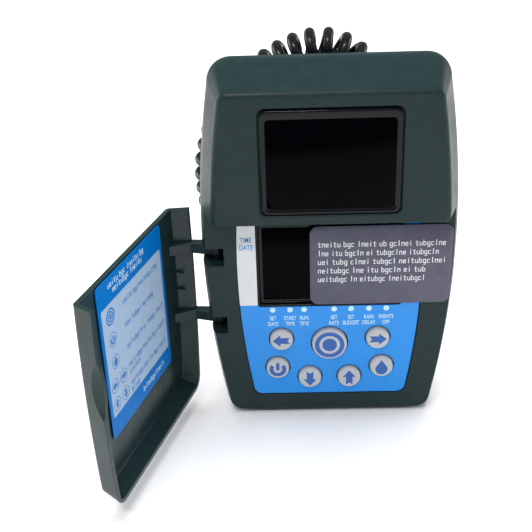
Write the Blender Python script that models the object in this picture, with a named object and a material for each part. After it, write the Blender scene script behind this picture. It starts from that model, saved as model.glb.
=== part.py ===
"""Solar irrigation controller: housing, hinged cover, push buttons, coiled lead and valve solenoid.

Sizes are in millimetres and are turned into metres where a mesh is made.  X runs to the right
and Z up.  Depths along Y are counted from the ledge, the flat front that the cover closes onto:
negative in front of it, positive behind it.  The origin lies on the housing's flat bottom, which
it stands on, LEDGE_DEPTH behind the ledge.
"""
import math
from collections import namedtuple

import bmesh
import bpy
from mathutils import Matrix, Vector

MM = 0.001

# ---- overall sizes ------------------------------------------------------------------------
PANEL_WIDTH = 67.2          # printed panel at its widest
PANEL_HEIGHT = 84.3         # from the bottom of the housing to the underside of the hood
HOOD_HEIGHT = 54.9          # hood above that
HOOD_PROUD = 8.9            # how far the hood stands in front of the ledge
LEDGE_DEPTH = 20.0          # origin behind the ledge
FRONT_DEPTH = 13.0          # ledge to the seam
REAR_DEPTH = 18.4           # rear shell from the seam to the back
LEDGE_WIDTH = 12.8          # ledge on each side of the printed panel
WALL = 2.2
GAP = 0.3                   # between pieces that rest on each other
SEAL_THICKNESS = 1.0        # gasket between the two shells

# ---- housing form -------------------------------------------------------------------------
SIDE_BULGE = 6.9            # how far the sides bow out
BASE_TAPER = 7.4            # the base is this much narrower on each side than the widest place
TOP_TAPER = 6.6
BASE_CORNER = 6.5
TOP_CORNER = 8.5
WIDEST_DEPTH = 4.8          # the sides lean in, in front of this depth
SIDE_FLARE = math.tan(math.radians(20))
TOP_SLOPE = math.tan(math.radians(30.9))
TOP_BREAK = 9.0             # behind this depth the top falls away again
TOP_FALL = math.tan(math.radians(20))
HOOD_EDGE = 1.8             # rounding round the hood's front
REAR_SLOPE = math.tan(math.radians(27))
REAR_FLARE = math.tan(math.radians(15))
REAR_EDGE = 4.0

# ---- printed panel, display and window ------------------------------------------------------
PANEL_BOTTOM = 8.25
PANEL_BULGE = 2.4
PANEL_BASE_TAPER = 4.9
PANEL_TOP_TAPER = 0.6
PANEL_CORNER = 3.6
PANEL_RECESS = 1.0
LABEL_THICKNESS = 0.25
LCD_WIDTH = 53.0
LCD_BOTTOM = 47.1
LCD_TOP_MARGIN = 3.4        # display opening below the hood
LENS_THICKNESS = 1.2
WINDOW_WIDTH = 47.3
WINDOW_MARGIN = 4.2         # window above the hood's lower edge
WINDOW_TOP_MARGIN = 13.6
WINDOW_THICKNESS = 1.5
WINDOW_PROUD = 0.4
WINDOW_SEAT = 3.6           # width of the rim that the window rests on
FILM_WIDTH = 51.0
FILM_THICKNESS = 0.3

# ---- buttons --------------------------------------------------------------------------------
BUTTON_DIAMETER = 8.8
SELECT_DIAMETER = 13.2
BUTTON_PROUD = 1.3
BUTTON_TRAVEL = 0.8
FLANGE_EXTRA = 0.9
FLANGE_THICKNESS = 0.8
STEM_RADIUS = 1.4
STEM_PAST_MAT = 1.0
MAT_THICKNESS = 0.8
MAT_CLEARANCE = 0.5         # pressed button in front of the mat
SWITCH_SIZE = 6.0
SWITCH_DEPTH = 2.9
SWITCH_TIP = 0.9
BOARD_THICKNESS = 1.6
BUTTONS = {
    "left": (-18.05, 33.3), "select": (0.0, 31.2), "right": (18.05, 33.3),
    "power": (-19.75, 20.7), "down": (-7.5, 16.2), "up": (7.5, 16.2), "water": (19.75, 20.7),
}

# ---- cover and its hinge ----------------------------------------------------------------------
OPEN_ANGLE = 106.5          # how far the cover stands open from closed, in degrees
COVER_WALL = 1.8
COVER_RIM_GAP = 1.1         # cover rim in front of the ledge
COVER_TOP_GAP = 0.6         # cover below the hood
COVER_BOTTOM = 7.1
COVER_LEAN = 0.40           # slope of its walls
COVER_EDGE = 2.0
COVER_SHIFT = -1.95         # the cover sits a little towards its hinge
COVER_SIDE_GAP = 5.8        # cover's edge inside the widest line of the housing
COVER_BASE_TAPER = 3.0
COVER_TOP_TAPER = 1.1
COVER_BULGE = 1.4
COVER_CORNER = 6.0
COVER_TOP_CORNER = 3.0
GRIP_HEIGHT = 48.0          # middle of the finger grip above the cover's bottom
COVER_LABEL_LEFT = 20.4     # cover's printed label inside the widest line of the housing
COVER_LABEL_RIGHT = 22.4
COVER_LABEL_LOW = 18.8      # above the cover's bottom
COVER_LABEL_TOP = 0.6       # below the cover's top
PIVOT_INSET = 5.1           # pivot inside the widest line of the housing
PIVOT_BEHIND = 4.6          # pivot in front of the seam
PIN_RADIUS = 1.0
BOSS_RADIUS = 2.4
ARM_HEIGHT = 4.2
SLOT_HEIGHT = 7.0
SLOT_RIGHT = 3.1            # slot reaches this far inside the pivot
LOWER_SLOT = 36.3
UPPER_SLOT_DROP = 19.6      # top slot's floor below the hood's underside
PIN_GRIP = 1.7              # pin held in the shell at each end

# ---- screws, dock, solenoid and lead ---------------------------------------------------------
POST_RADIUS = 3.2
WELL_RADIUS = 3.1
POST_INSET = 17.4           # screws inside the widest line of the housing
POST_LOW = 10.5
POST_TOP_DROP = 21.2
SCREW_SHAFT = 1.2
SCREW_HEAD = 2.6
DOCK_HEIGHT = 62.0
SOLENOID_RADIUS = 16.0
SOLENOID_LENGTH = 28.6
DOCK_LENGTH = 5.0
THREAD_RADIUS = 10.5
THREAD_LENGTH = 8.5
THREAD_TURNS = 5
BORE_RADIUS = 5.3
PLUNGER_TRAVEL = 2.0
CORD_RADIUS = 2.0
COIL_RADIUS = 6.75          # outside of the curly stretch
GLAND = (-22.0, 30.0)

SEAM = FRONT_DEPTH
REAR_START = SEAM + SEAL_THICKNESS + 2 * GAP
BACK = REAR_START + REAR_DEPTH
HOUSING_HEIGHT = PANEL_HEIGHT + HOOD_HEIGHT
HALF_WIDTH = PANEL_WIDTH / 2 + LEDGE_WIDTH
PIVOT_X = -(HALF_WIDTH - PIVOT_INSET)
PIVOT_Y = SEAM - PIVOT_BEHIND
UPPER_SLOT = PANEL_HEIGHT - UPPER_SLOT_DROP
LCD_TOP = PANEL_HEIGHT - LCD_TOP_MARGIN
WINDOW_BOTTOM = PANEL_HEIGHT + WINDOW_MARGIN
WINDOW_TOP = HOUSING_HEIGHT - WINDOW_TOP_MARGIN
POSTS = [(side * (HALF_WIDTH - POST_INSET), height) for side in (-1, 1)
         for height in (POST_LOW, HOUSING_HEIGHT - POST_TOP_DROP)]
SLOT_FLOORS = (LOWER_SLOT, UPPER_SLOT)
HOOD_FLAT = HOOD_EDGE - HOOD_PROUD                      # where the hood's front rounding starts

# what stands behind the printed panel, from front to back
CAP_BACK = PANEL_RECESS + WALL + GAP                    # front of a button's flange
MAT_Y = CAP_BACK + FLANGE_THICKNESS + BUTTON_TRAVEL + MAT_CLEARANCE
STEM_END = MAT_Y + MAT_THICKNESS + STEM_PAST_MAT
SWITCH_Y = STEM_END + BUTTON_TRAVEL + GAP
BOARD_Y = SWITCH_Y + SWITCH_DEPTH + GAP

CORNER_STEPS = 4
SIDE_STEPS = 8
SMALL_RADIUS = 0.8          # a corner never gets sharper than this

# bulged outline: half widths at its bottom and top, how far the sides bow, and its two ends
Outline = namedtuple("Outline", "base top bulge low high base_corner top_corner shift")

HOUSING = Outline(HALF_WIDTH - BASE_TAPER, HALF_WIDTH - TOP_TAPER, SIDE_BULGE,
                  0.0, HOUSING_HEIGHT, BASE_CORNER, TOP_CORNER, 0.0)
PANEL = Outline(PANEL_WIDTH / 2 - PANEL_BASE_TAPER, PANEL_WIDTH / 2 - PANEL_TOP_TAPER, PANEL_BULGE,
                PANEL_BOTTOM, PANEL_HEIGHT - GAP, PANEL_CORNER, SMALL_RADIUS, 0.0)
COVER_SIDE = HALF_WIDTH - COVER_SIDE_GAP
COVER = Outline(COVER_SIDE - COVER_BASE_TAPER, COVER_SIDE - COVER_TOP_TAPER, COVER_BULGE,
                COVER_BOTTOM, PANEL_HEIGHT - COVER_TOP_GAP, COVER_CORNER, COVER_TOP_CORNER,
                COVER_SHIFT)


# ---- helpers ----------------------------------------------------------------------------------
def place(x, y, z):
    """A point counted from the ledge, in metres."""
    return Vector((x * MM, (y - LEDGE_DEPTH) * MM, z * MM))


def half_width(shape, z):
    t = (z - shape.low) / (shape.high - shape.low)
    return shape.base * (1 - t) + shape.top * t + 4 * shape.bulge * t * (1 - t)


def outline(shape, side=0.0, top=0.0, bottom=0.0):
    """The shape's outline as (x, z) points, drawn in at its sides, top and bottom."""
    low = shape.low + bottom
    high = shape.high - top
    base_r = max(shape.base_corner - side, SMALL_RADIUS)
    top_r = max(shape.top_corner - side, SMALL_RADIUS)
    right = []
    x = half_width(shape, low + base_r) - side - base_r
    for step in range(CORNER_STEPS + 1):
        angle = math.radians(90 * step / CORNER_STEPS - 90)
        right.append((x + base_r * math.cos(angle), low + base_r + base_r * math.sin(angle)))
    for step in range(1, SIDE_STEPS):
        z = low + base_r + (high - low - base_r - top_r) * step / SIDE_STEPS
        right.append((half_width(shape, z) - side, z))
    x = half_width(shape, high - top_r) - side - top_r
    for step in range(CORNER_STEPS + 1):
        angle = math.radians(90 * step / CORNER_STEPS)
        right.append((x + top_r * math.cos(angle), high - top_r + top_r * math.sin(angle)))
    left = [(-px, pz) for px, pz in reversed(right)]
    return [(px + shape.shift, pz) for px, pz in right + left]


def rounded_rectangle(x0, x1, z0, z1, radius, steps=4):
    """Outline of a rectangle with round corners, as (x, z) points."""
    points = []
    corners = ((x1 - radius, z0 + radius, -90), (x1 - radius, z1 - radius, 0),
               (x0 + radius, z1 - radius, 90), (x0 + radius, z0 + radius, 180))
    for x, z, start in corners:
        for step in range(steps + 1):
            angle = math.radians(start + 90 * step / steps)
            points.append((x + radius * math.cos(angle), z + radius * math.sin(angle)))
    return points


def circle(x, z, radius, steps=20):
    turn = 2 * math.pi / steps
    return [(x + radius * math.cos(turn * k), z + radius * math.sin(turn * k)) for k in range(steps)]


def loft(rings, bm=None):
    """A closed solid through outlines at rising depths; rings are (y, points)."""
    bm = bm or bmesh.new()
    loops = []
    for y, points in rings:
        verts = [bm.verts.new(place(x, y, z)) for x, z in points]
        loops.append([bm.edges.new((verts[k - 1], verts[k])) for k in range(len(verts))])
    for first, second in zip(loops, loops[1:]):
        bmesh.ops.bridge_loops(bm, edges=first + second)
    for end in (loops[0], loops[-1]):
        bmesh.ops.edgeloop_fill(bm, edges=end)
    bmesh.ops.recalc_face_normals(bm, faces=bm.faces)
    return bm


def prism(points, y0, y1, bm=None):
    return loft([(y0, points), (y1, points)], bm)


def block(x0, x1, y0, y1, z0, z1, bm=None):
    return prism([(x0, z0), (x1, z0), (x1, z1), (x0, z1)], y0, y1, bm)


def turned(profile, steps=24, closed=False):
    """A solid of revolution about the Y axis; the profile is (radius, y) points."""
    bm = bmesh.new()
    verts = [bm.verts.new((r * MM, y * MM, 0)) for r, y in profile]
    pairs = list(zip(verts, verts[1:]))
    if closed:
        pairs.append((verts[-1], verts[0]))
    edges = [bm.edges.new(pair) for pair in pairs]
    bmesh.ops.spin(bm, geom=verts + edges, cent=(0, 0, 0), axis=(0, 1, 0), angle=2 * math.pi,
                   steps=steps, use_merge=True)
    bmesh.ops.remove_doubles(bm, verts=bm.verts, dist=1e-6)
    bmesh.ops.recalc_face_normals(bm, faces=bm.faces)
    return bm


def material(name, colour, roughness, metallic=0.0):
    shader = bpy.data.materials.get(name) or bpy.data.materials.new(name)
    shader.use_nodes = True
    principled = shader.node_tree.nodes["Principled BSDF"]
    principled.inputs["Base Color"].default_value = (*colour, 1.0)
    principled.inputs["Roughness"].default_value = roughness
    principled.inputs["Metallic"].default_value = metallic
    return shader


def add_object(name, bm, finish, location=(0, 0, 0), rotation=(0, 0, 0), parent=None):
    """Make an object of the mesh, with its own material, and free the mesh."""
    mesh = bpy.data.meshes.new(name)
    bm.to_mesh(mesh)
    bm.free()
    mesh.shade_smooth()
    mesh.set_sharp_from_angle(angle=math.radians(35))
    if finish:
        mesh.materials.append(finish)
    item = bpy.data.objects.new(name, mesh)
    bpy.context.scene.collection.objects.link(item)
    item.location = location
    item.rotation_euler = rotation
    item.parent = parent
    return item


def add_cutter(name, bm, parent=None):
    item = add_object(name, bm, None, parent=parent)
    item.hide_render = True
    item.display_type = "WIRE"
    return item


def combine(target, tool, operation="DIFFERENCE"):
    modifier = target.modifiers.new(tool.name, "BOOLEAN")
    modifier.operation = operation
    modifier.object = tool
    modifier.solver = "EXACT"


def empty(name, location):
    item = bpy.data.objects.new(name, None)
    bpy.context.scene.collection.objects.link(item)
    item.location = location
    return item


# ---- finishes -----------------------------------------------------------------------------------
def make_finishes():
    return {
        "housing": material("housing_plastic", (0.030, 0.042, 0.042), 0.42),
        "rubber": material("black_rubber", (0.012, 0.012, 0.012), 0.55),
        "glass": material("window_glass", (0.004, 0.004, 0.008), 0.05),
        "print": material("panel_print", (0.0, 0.28, 0.83), 0.35),
        "door_print": material("cover_print", (0.55, 0.66, 0.80), 0.35),
        "button": material("button_plastic", (0.70, 0.70, 0.74), 0.30),
        "film": material("notice_film", (0.115, 0.105, 0.15), 0.40),
        "board": material("board_green", (0.02, 0.16, 0.06), 0.45),
        "switch": material("switch_black", (0.03, 0.03, 0.03), 0.40),
        "display": material("display_glass", (0.25, 0.28, 0.24), 0.12),
        "cell": material("solar_cell", (0.01, 0.015, 0.06), 0.20),
        "steel": material("steel", (0.62, 0.62, 0.60), 0.28, 1.0),
        "brass": material("brass", (0.70, 0.52, 0.25), 0.32, 1.0),
        "solenoid": material("solenoid_plastic", (0.016, 0.016, 0.017), 0.38),
        "capacitor": material("capacitor_sleeve", (0.05, 0.07, 0.20), 0.35),
    }


# ---- housing ---------------------------------------------------------------------------------
def top_fall(y):
    return max(y - TOP_BREAK, 0.0) * TOP_FALL


def front_ring(y, inset=0.0):
    """Housing outline at depth y in front of the seam, drawn in by the wall where asked."""
    lean = max(WIDEST_DEPTH - y, 0.0)
    round_in = 0.0
    if y < HOOD_FLAT:
        rise = min((HOOD_FLAT - y) / HOOD_EDGE, 1.0)
        round_in = HOOD_EDGE * (1 - math.sqrt(max(1 - rise * rise, 0.0))) * 0.9
    side = lean * SIDE_FLARE + round_in + inset
    top = lean * TOP_SLOPE + top_fall(y) + round_in + inset * 1.2
    return y, outline(HOUSING, side, top, lean * SIDE_FLARE + round_in + inset)


def make_front_shell(finish):
    depths = [-HOOD_PROUD, HOOD_FLAT - HOOD_EDGE * 0.87, HOOD_FLAT - HOOD_EDGE * 0.5, HOOD_FLAT, 0.0,
              WIDEST_DEPTH, TOP_BREAK, SEAM]
    shell = add_object("front_shell", loft([front_ring(y) for y in depths]), finish["housing"])

    # everything in front of the ledge is cut away below the hood, whose lower edge is rounded
    far = HALF_WIDTH + 10
    lip = [(0.0, -5.0), (0.0, PANEL_HEIGHT)]
    for step in range(5):
        angle = math.radians(90 * step / 4)
        lip.append((HOOD_FLAT - HOOD_EDGE * math.sin(angle),
                    PANEL_HEIGHT + HOOD_EDGE * (1 - math.cos(angle))))
    lip += [(-HOOD_PROUD - 1.0, PANEL_HEIGHT + HOOD_EDGE + 1.0), (-HOOD_PROUD - 6.0, -5.0)]
    bm = bmesh.new()
    verts = [bm.verts.new(place(-far, y, z)) for y, z in lip]
    face = bm.faces.new(verts)
    moved = bmesh.ops.extrude_face_region(bm, geom=[face])["geom"]
    bmesh.ops.translate(bm, vec=(2 * far * MM, 0, 0),
                        verts=[g for g in moved if isinstance(g, bmesh.types.BMVert)])
    bmesh.ops.recalc_face_normals(bm, faces=bm.faces)
    combine(shell, add_cutter("cut_ledge", bm))

    # inside: hollow, but for the ledge wall, the hinge pockets and the screw posts
    depths = [WALL - HOOD_PROUD, WALL + HOOD_FLAT, 0.0, WIDEST_DEPTH, TOP_BREAK, SEAM + 2]
    hollow = add_cutter("cut_front_hollow", loft([front_ring(y, WALL) for y in depths]))
    keep = block(-far, far, -HOOD_PROUD - 1, PANEL_RECESS + WALL, -5, PANEL_HEIGHT + WALL)
    combine(hollow, add_cutter("keep_ledge_wall", keep))
    grip = PIN_GRIP + GAP + 1.0
    keep = bmesh.new()
    for floor in SLOT_FLOORS:
        block(-far, PIVOT_X + SLOT_RIGHT + WALL, -1, SEAM + 5,
              floor - grip, floor + SLOT_HEIGHT + grip, keep)
    combine(hollow, add_cutter("keep_hinge_pockets", keep))
    keep = bmesh.new()
    for x, z in POSTS:
        prism(circle(x, z, POST_RADIUS), -HOOD_PROUD - 1, SEAM + 5, keep)
    combine(hollow, add_cutter("keep_posts", keep))
    combine(shell, hollow)

    combine(shell, add_cutter("cut_panel_recess", prism(outline(PANEL), -3, PANEL_RECESS)))
    holes = bmesh.new()
    wall_back = PANEL_RECESS + WALL + 1
    prism(rounded_rectangle(-LCD_WIDTH / 2, LCD_WIDTH / 2, LCD_BOTTOM, LCD_TOP, 1.2),
          -1, wall_back, holes)
    for name, (x, z) in BUTTONS.items():
        prism(circle(x, z, button_radius(name) + GAP), -1, wall_back, holes)
    combine(shell, add_cutter("cut_panel_holes", holes))
    half = WINDOW_WIDTH / 2
    seat = WINDOW_THICKNESS - WINDOW_PROUD + GAP
    recess = rounded_rectangle(-half - GAP, half + GAP, WINDOW_BOTTOM - GAP, WINDOW_TOP + GAP, 2.2)
    combine(shell, add_cutter("cut_window_seat",
                              prism(recess, -HOOD_PROUD - 1, seat - HOOD_PROUD)))
    opening = rounded_rectangle(-half + WINDOW_SEAT, half - WINDOW_SEAT,
                                WINDOW_BOTTOM + WINDOW_SEAT, WINDOW_TOP - WINDOW_SEAT, 1.5)
    combine(shell, add_cutter("cut_window_opening",
                              prism(opening, -HOOD_PROUD - 2, WALL + 1 - HOOD_PROUD)))
    slots = bmesh.new()
    for floor in SLOT_FLOORS:
        block(-far, PIVOT_X + SLOT_RIGHT, -2, PIVOT_Y + BOSS_RADIUS + 3 * GAP,
              floor, floor + SLOT_HEIGHT, slots)
    combine(shell, add_cutter("cut_hinge_slots", slots))
    drilled = bmesh.new()
    for floor in SLOT_FLOORS:
        reach = SLOT_HEIGHT / 2 + PIN_GRIP + GAP
        spot = place(PIVOT_X, PIVOT_Y, floor + SLOT_HEIGHT / 2)
        bmesh.ops.create_cone(drilled, cap_ends=True, segments=20, radius1=(PIN_RADIUS + GAP) * MM,
                              radius2=(PIN_RADIUS + GAP) * MM, depth=2 * reach * MM,
                              matrix=Matrix.Translation(spot))
    combine(shell, add_cutter("cut_pin_holes", drilled))
    drilled = bmesh.new()
    for x, z in POSTS:
        prism(circle(x, z, SCREW_SHAFT + GAP, 16), SEAM - 8.0, SEAM + 3, drilled)
    combine(shell, add_cutter("cut_screw_holes", drilled))


def rear_ring(depth, inset=0.0, bottom=0.0, round_in=0.0):
    """Rear outline at a depth counted from where the rear shell starts."""
    lean = max(depth, 0.0)
    side = lean * REAR_FLARE + round_in + inset
    top = top_fall(REAR_START) + lean * REAR_SLOPE + round_in + inset * 1.15
    return REAR_START + depth, outline(HOUSING, side, top, bottom + round_in + inset)


def make_rear_shell(finish):
    edge = REAR_DEPTH - REAR_EDGE
    rings = [rear_ring(0.0), rear_ring(edge)]
    for step in (1, 2, 3):
        angle = math.radians(30 * step)
        rings.append(rear_ring(edge + REAR_EDGE * math.sin(angle),
                               round_in=REAR_EDGE * (1 - math.cos(angle))))
    shell = add_object("rear_shell", loft(rings), finish["housing"])
    collar = prism(circle(0, DOCK_HEIGHT, SOLENOID_RADIUS + GAP + WALL, 40),
                   BACK - 1.0, BACK + DOCK_LENGTH)
    combine(shell, add_cutter("add_dock_collar", collar), "UNION")
    hollow = loft([rear_ring(-2.0, WALL), rear_ring(edge, WALL), rear_ring(REAR_DEPTH - WALL,
                                                                           WALL + REAR_EDGE / 2)])
    hollow = add_cutter("cut_rear_hollow", hollow)
    keep = bmesh.new()
    for x, z in POSTS:
        prism(circle(x, z, WELL_RADIUS + 1.2), REAR_START - 5, BACK + 2, keep)
    combine(hollow, add_cutter("keep_wells", keep))
    combine(shell, hollow)
    holes = bmesh.new()
    for x, z in POSTS:
        prism(circle(x, z, WELL_RADIUS), REAR_START + 4.0, BACK + 1, holes)
    prism(circle(GLAND[0], GLAND[1], 3.0 + GAP), BACK - WALL - 1, BACK + 1, holes)
    combine(shell, add_cutter("cut_wells", holes))
    holes = bmesh.new()
    for x, z in POSTS:
        prism(circle(x, z, SCREW_SHAFT + GAP, 16), REAR_START - 1, REAR_START + 5, holes)
    combine(shell, add_cutter("cut_rear_screw_holes", holes))
    dock = prism(circle(0, DOCK_HEIGHT, SOLENOID_RADIUS + GAP, 40), BACK, BACK + DOCK_LENGTH + 1)
    combine(shell, add_cutter("cut_dock", dock))


def make_gasket(finish):
    seal = prism(outline(HOUSING, 0.5, 0.5 + top_fall(REAR_START), 0.5),
                 SEAM + GAP, SEAM + GAP + SEAL_THICKNESS)
    ring = add_object("housing_gasket", seal, finish["rubber"])
    inner = prism(outline(HOUSING, 1.9, 1.9 + top_fall(REAR_START), 1.9),
                  SEAM, SEAM + SEAL_THICKNESS + 1)
    combine(ring, add_cutter("cut_gasket", inner))


# ---- front panel ---------------------------------------------------------------------------------
def button_radius(name):
    return (SELECT_DIAMETER if name == "select" else BUTTON_DIAMETER) / 2


def make_window(finish):
    half = WINDOW_WIDTH / 2
    front = -HOOD_PROUD - WINDOW_PROUD
    rings = []
    for y, inset in ((front, 1.1), (front + WINDOW_PROUD, 0.0), (front + WINDOW_THICKNESS, 0.0)):
        rings.append((y, rounded_rectangle(-half + inset, half - inset, WINDOW_BOTTOM + inset,
                                           WINDOW_TOP - inset, 2.0)))
    add_object("solar_window", loft(rings), finish["glass"])
    cell_y = WALL - HOOD_PROUD + GAP
    add_object("solar_cell", block(-half, half, cell_y, cell_y + 1.4,
                                   WINDOW_BOTTOM, WINDOW_TOP), finish["cell"])


def make_panel(finish):
    back = PANEL_RECESS - GAP
    sheet = prism(outline(PANEL, GAP, GAP, GAP), back - LABEL_THICKNESS, back)
    label = add_object("fascia_label", sheet, finish["print"])
    holes = prism(rounded_rectangle(-LCD_WIDTH / 2, LCD_WIDTH / 2, LCD_BOTTOM, LCD_TOP, 1.2), -2, 3)
    for name, (x, z) in BUTTONS.items():
        prism(circle(x, z, button_radius(name) + GAP), -2, 3, holes)
    combine(label, add_cutter("cut_label", holes))

    half = LCD_WIDTH / 2 - GAP
    lens_y = PANEL_RECESS + 0.6
    lens = prism(rounded_rectangle(-half, half, LCD_BOTTOM + GAP, LCD_TOP - GAP, 1.0),
                 lens_y, lens_y + LENS_THICKNESS)
    add_object("lcd_lens", lens, finish["glass"])
    module_y = PANEL_RECESS + WALL + GAP
    add_object("lcd_module", block(-half - 1.4, half + 1.4, module_y, module_y + 4.0,
                                   LCD_BOTTOM - 1.0, LCD_TOP + 1.0), finish["display"])
    strip_z = LCD_BOTTOM + 0.5
    add_object("lcd_contact_strip", block(-half + 3, half - 3, module_y + 4.0 + GAP,
                                          BOARD_Y - GAP, strip_z, strip_z + 2.4), finish["rubber"])

    film_left = HALF_WIDTH - 2.5 - FILM_WIDTH
    film = rounded_rectangle(film_left, film_left + FILM_WIDTH, LCD_BOTTOM + 1.3,
                             PANEL_HEIGHT - 4.3, 3.2, 6)
    add_object("notice_film", prism(film, -GAP - FILM_THICKNESS, -GAP), finish["film"])


def make_button(name, x, z, finish):
    radius = button_radius(name)
    dome = radius * 0.72
    flange_back = CAP_BACK + FLANGE_THICKNESS
    profile = [(0, -BUTTON_PROUD), (dome, -BUTTON_PROUD + 0.15), (radius - 0.35, -BUTTON_PROUD + 0.5),
               (radius, -BUTTON_PROUD + 1.1), (radius, CAP_BACK), (radius + FLANGE_EXTRA, CAP_BACK),
               (radius + FLANGE_EXTRA, flange_back), (STEM_RADIUS, flange_back),
               (STEM_RADIUS, STEM_END), (0, STEM_END)]
    steps = 28 if name == "select" else 20
    origin = place(x, 0, z)
    add_object("button_" + name, turned(profile, steps), finish["button"], location=origin)
    half = SWITCH_SIZE / 2
    body = block(-half, half, SWITCH_Y + SWITCH_TIP, SWITCH_Y + SWITCH_DEPTH, -half, half)
    switch = add_object("switch_" + name, body, finish["switch"], location=(x * MM, 0, z * MM))
    tip = prism(circle(0, 0, STEM_RADIUS + GAP, 16), SWITCH_Y, SWITCH_Y + SWITCH_TIP + 0.5)
    plunger = add_cutter("add_tip_" + name, tip)
    plunger.location = (x * MM, 0, z * MM)
    combine(switch, plunger, "UNION")


def make_electronics(finish):
    mat_half = max(abs(x) for x, z in BUTTONS.values()) + 4.0
    low = min(z for x, z in BUTTONS.values()) - 4.5
    high = max(z for x, z in BUTTONS.values()) + 5.0
    mat = add_object("button_mat", prism(rounded_rectangle(-mat_half, mat_half, low, high, 2.0),
                                         MAT_Y, MAT_Y + MAT_THICKNESS), finish["rubber"])
    holes = bmesh.new()
    for x, z in BUTTONS.values():
        prism(circle(x, z, STEM_RADIUS + GAP, 20), MAT_Y - 1, MAT_Y + 2, holes)
    combine(mat, add_cutter("cut_mat", holes))
    board = rounded_rectangle(-mat_half - 1.2, mat_half + 1.2, low - 1.5, LCD_TOP - 1.0, 1.5)
    add_object("circuit_board", prism(board, BOARD_Y, BOARD_Y + BOARD_THICKNESS), finish["board"])
    capacitor = turned([(0, -15), (6.2, -15), (7, -14.2), (7, 14.2), (6.2, 15), (0, 15)])
    bmesh.ops.rotate(capacitor, verts=capacitor.verts, matrix=Matrix.Rotation(math.pi / 2, 3, "Z"))
    add_object("storage_capacitor", capacitor, finish["capacitor"],
               location=place(0, SEAM - 4.0, PANEL_HEIGHT + 16))


# ---- cover ----------------------------------------------------------------------------------------
def cover_ring(y, inset=0.0):
    """Cover outline at depth y, closed; its walls lean in towards the front."""
    lean = -COVER_RIM_GAP - y
    flat = COVER_EDGE - HOOD_PROUD
    round_in = 0.0
    if y < flat:
        rise = min((flat - y) / COVER_EDGE, 1.0)
        round_in = COVER_EDGE * (1 - math.sqrt(max(1 - rise * rise, 0.0)))
    side = lean * COVER_LEAN + round_in + inset
    return y, outline(COVER, side, lean * 0.08 + round_in + inset, side)


def hollow_ring(y, inset):
    """Outline of the space inside the cover, which is open at its top."""
    side = (-COVER_RIM_GAP - y) * COVER_LEAN + inset
    return y, outline(COVER, side, -3.0, side)


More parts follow.
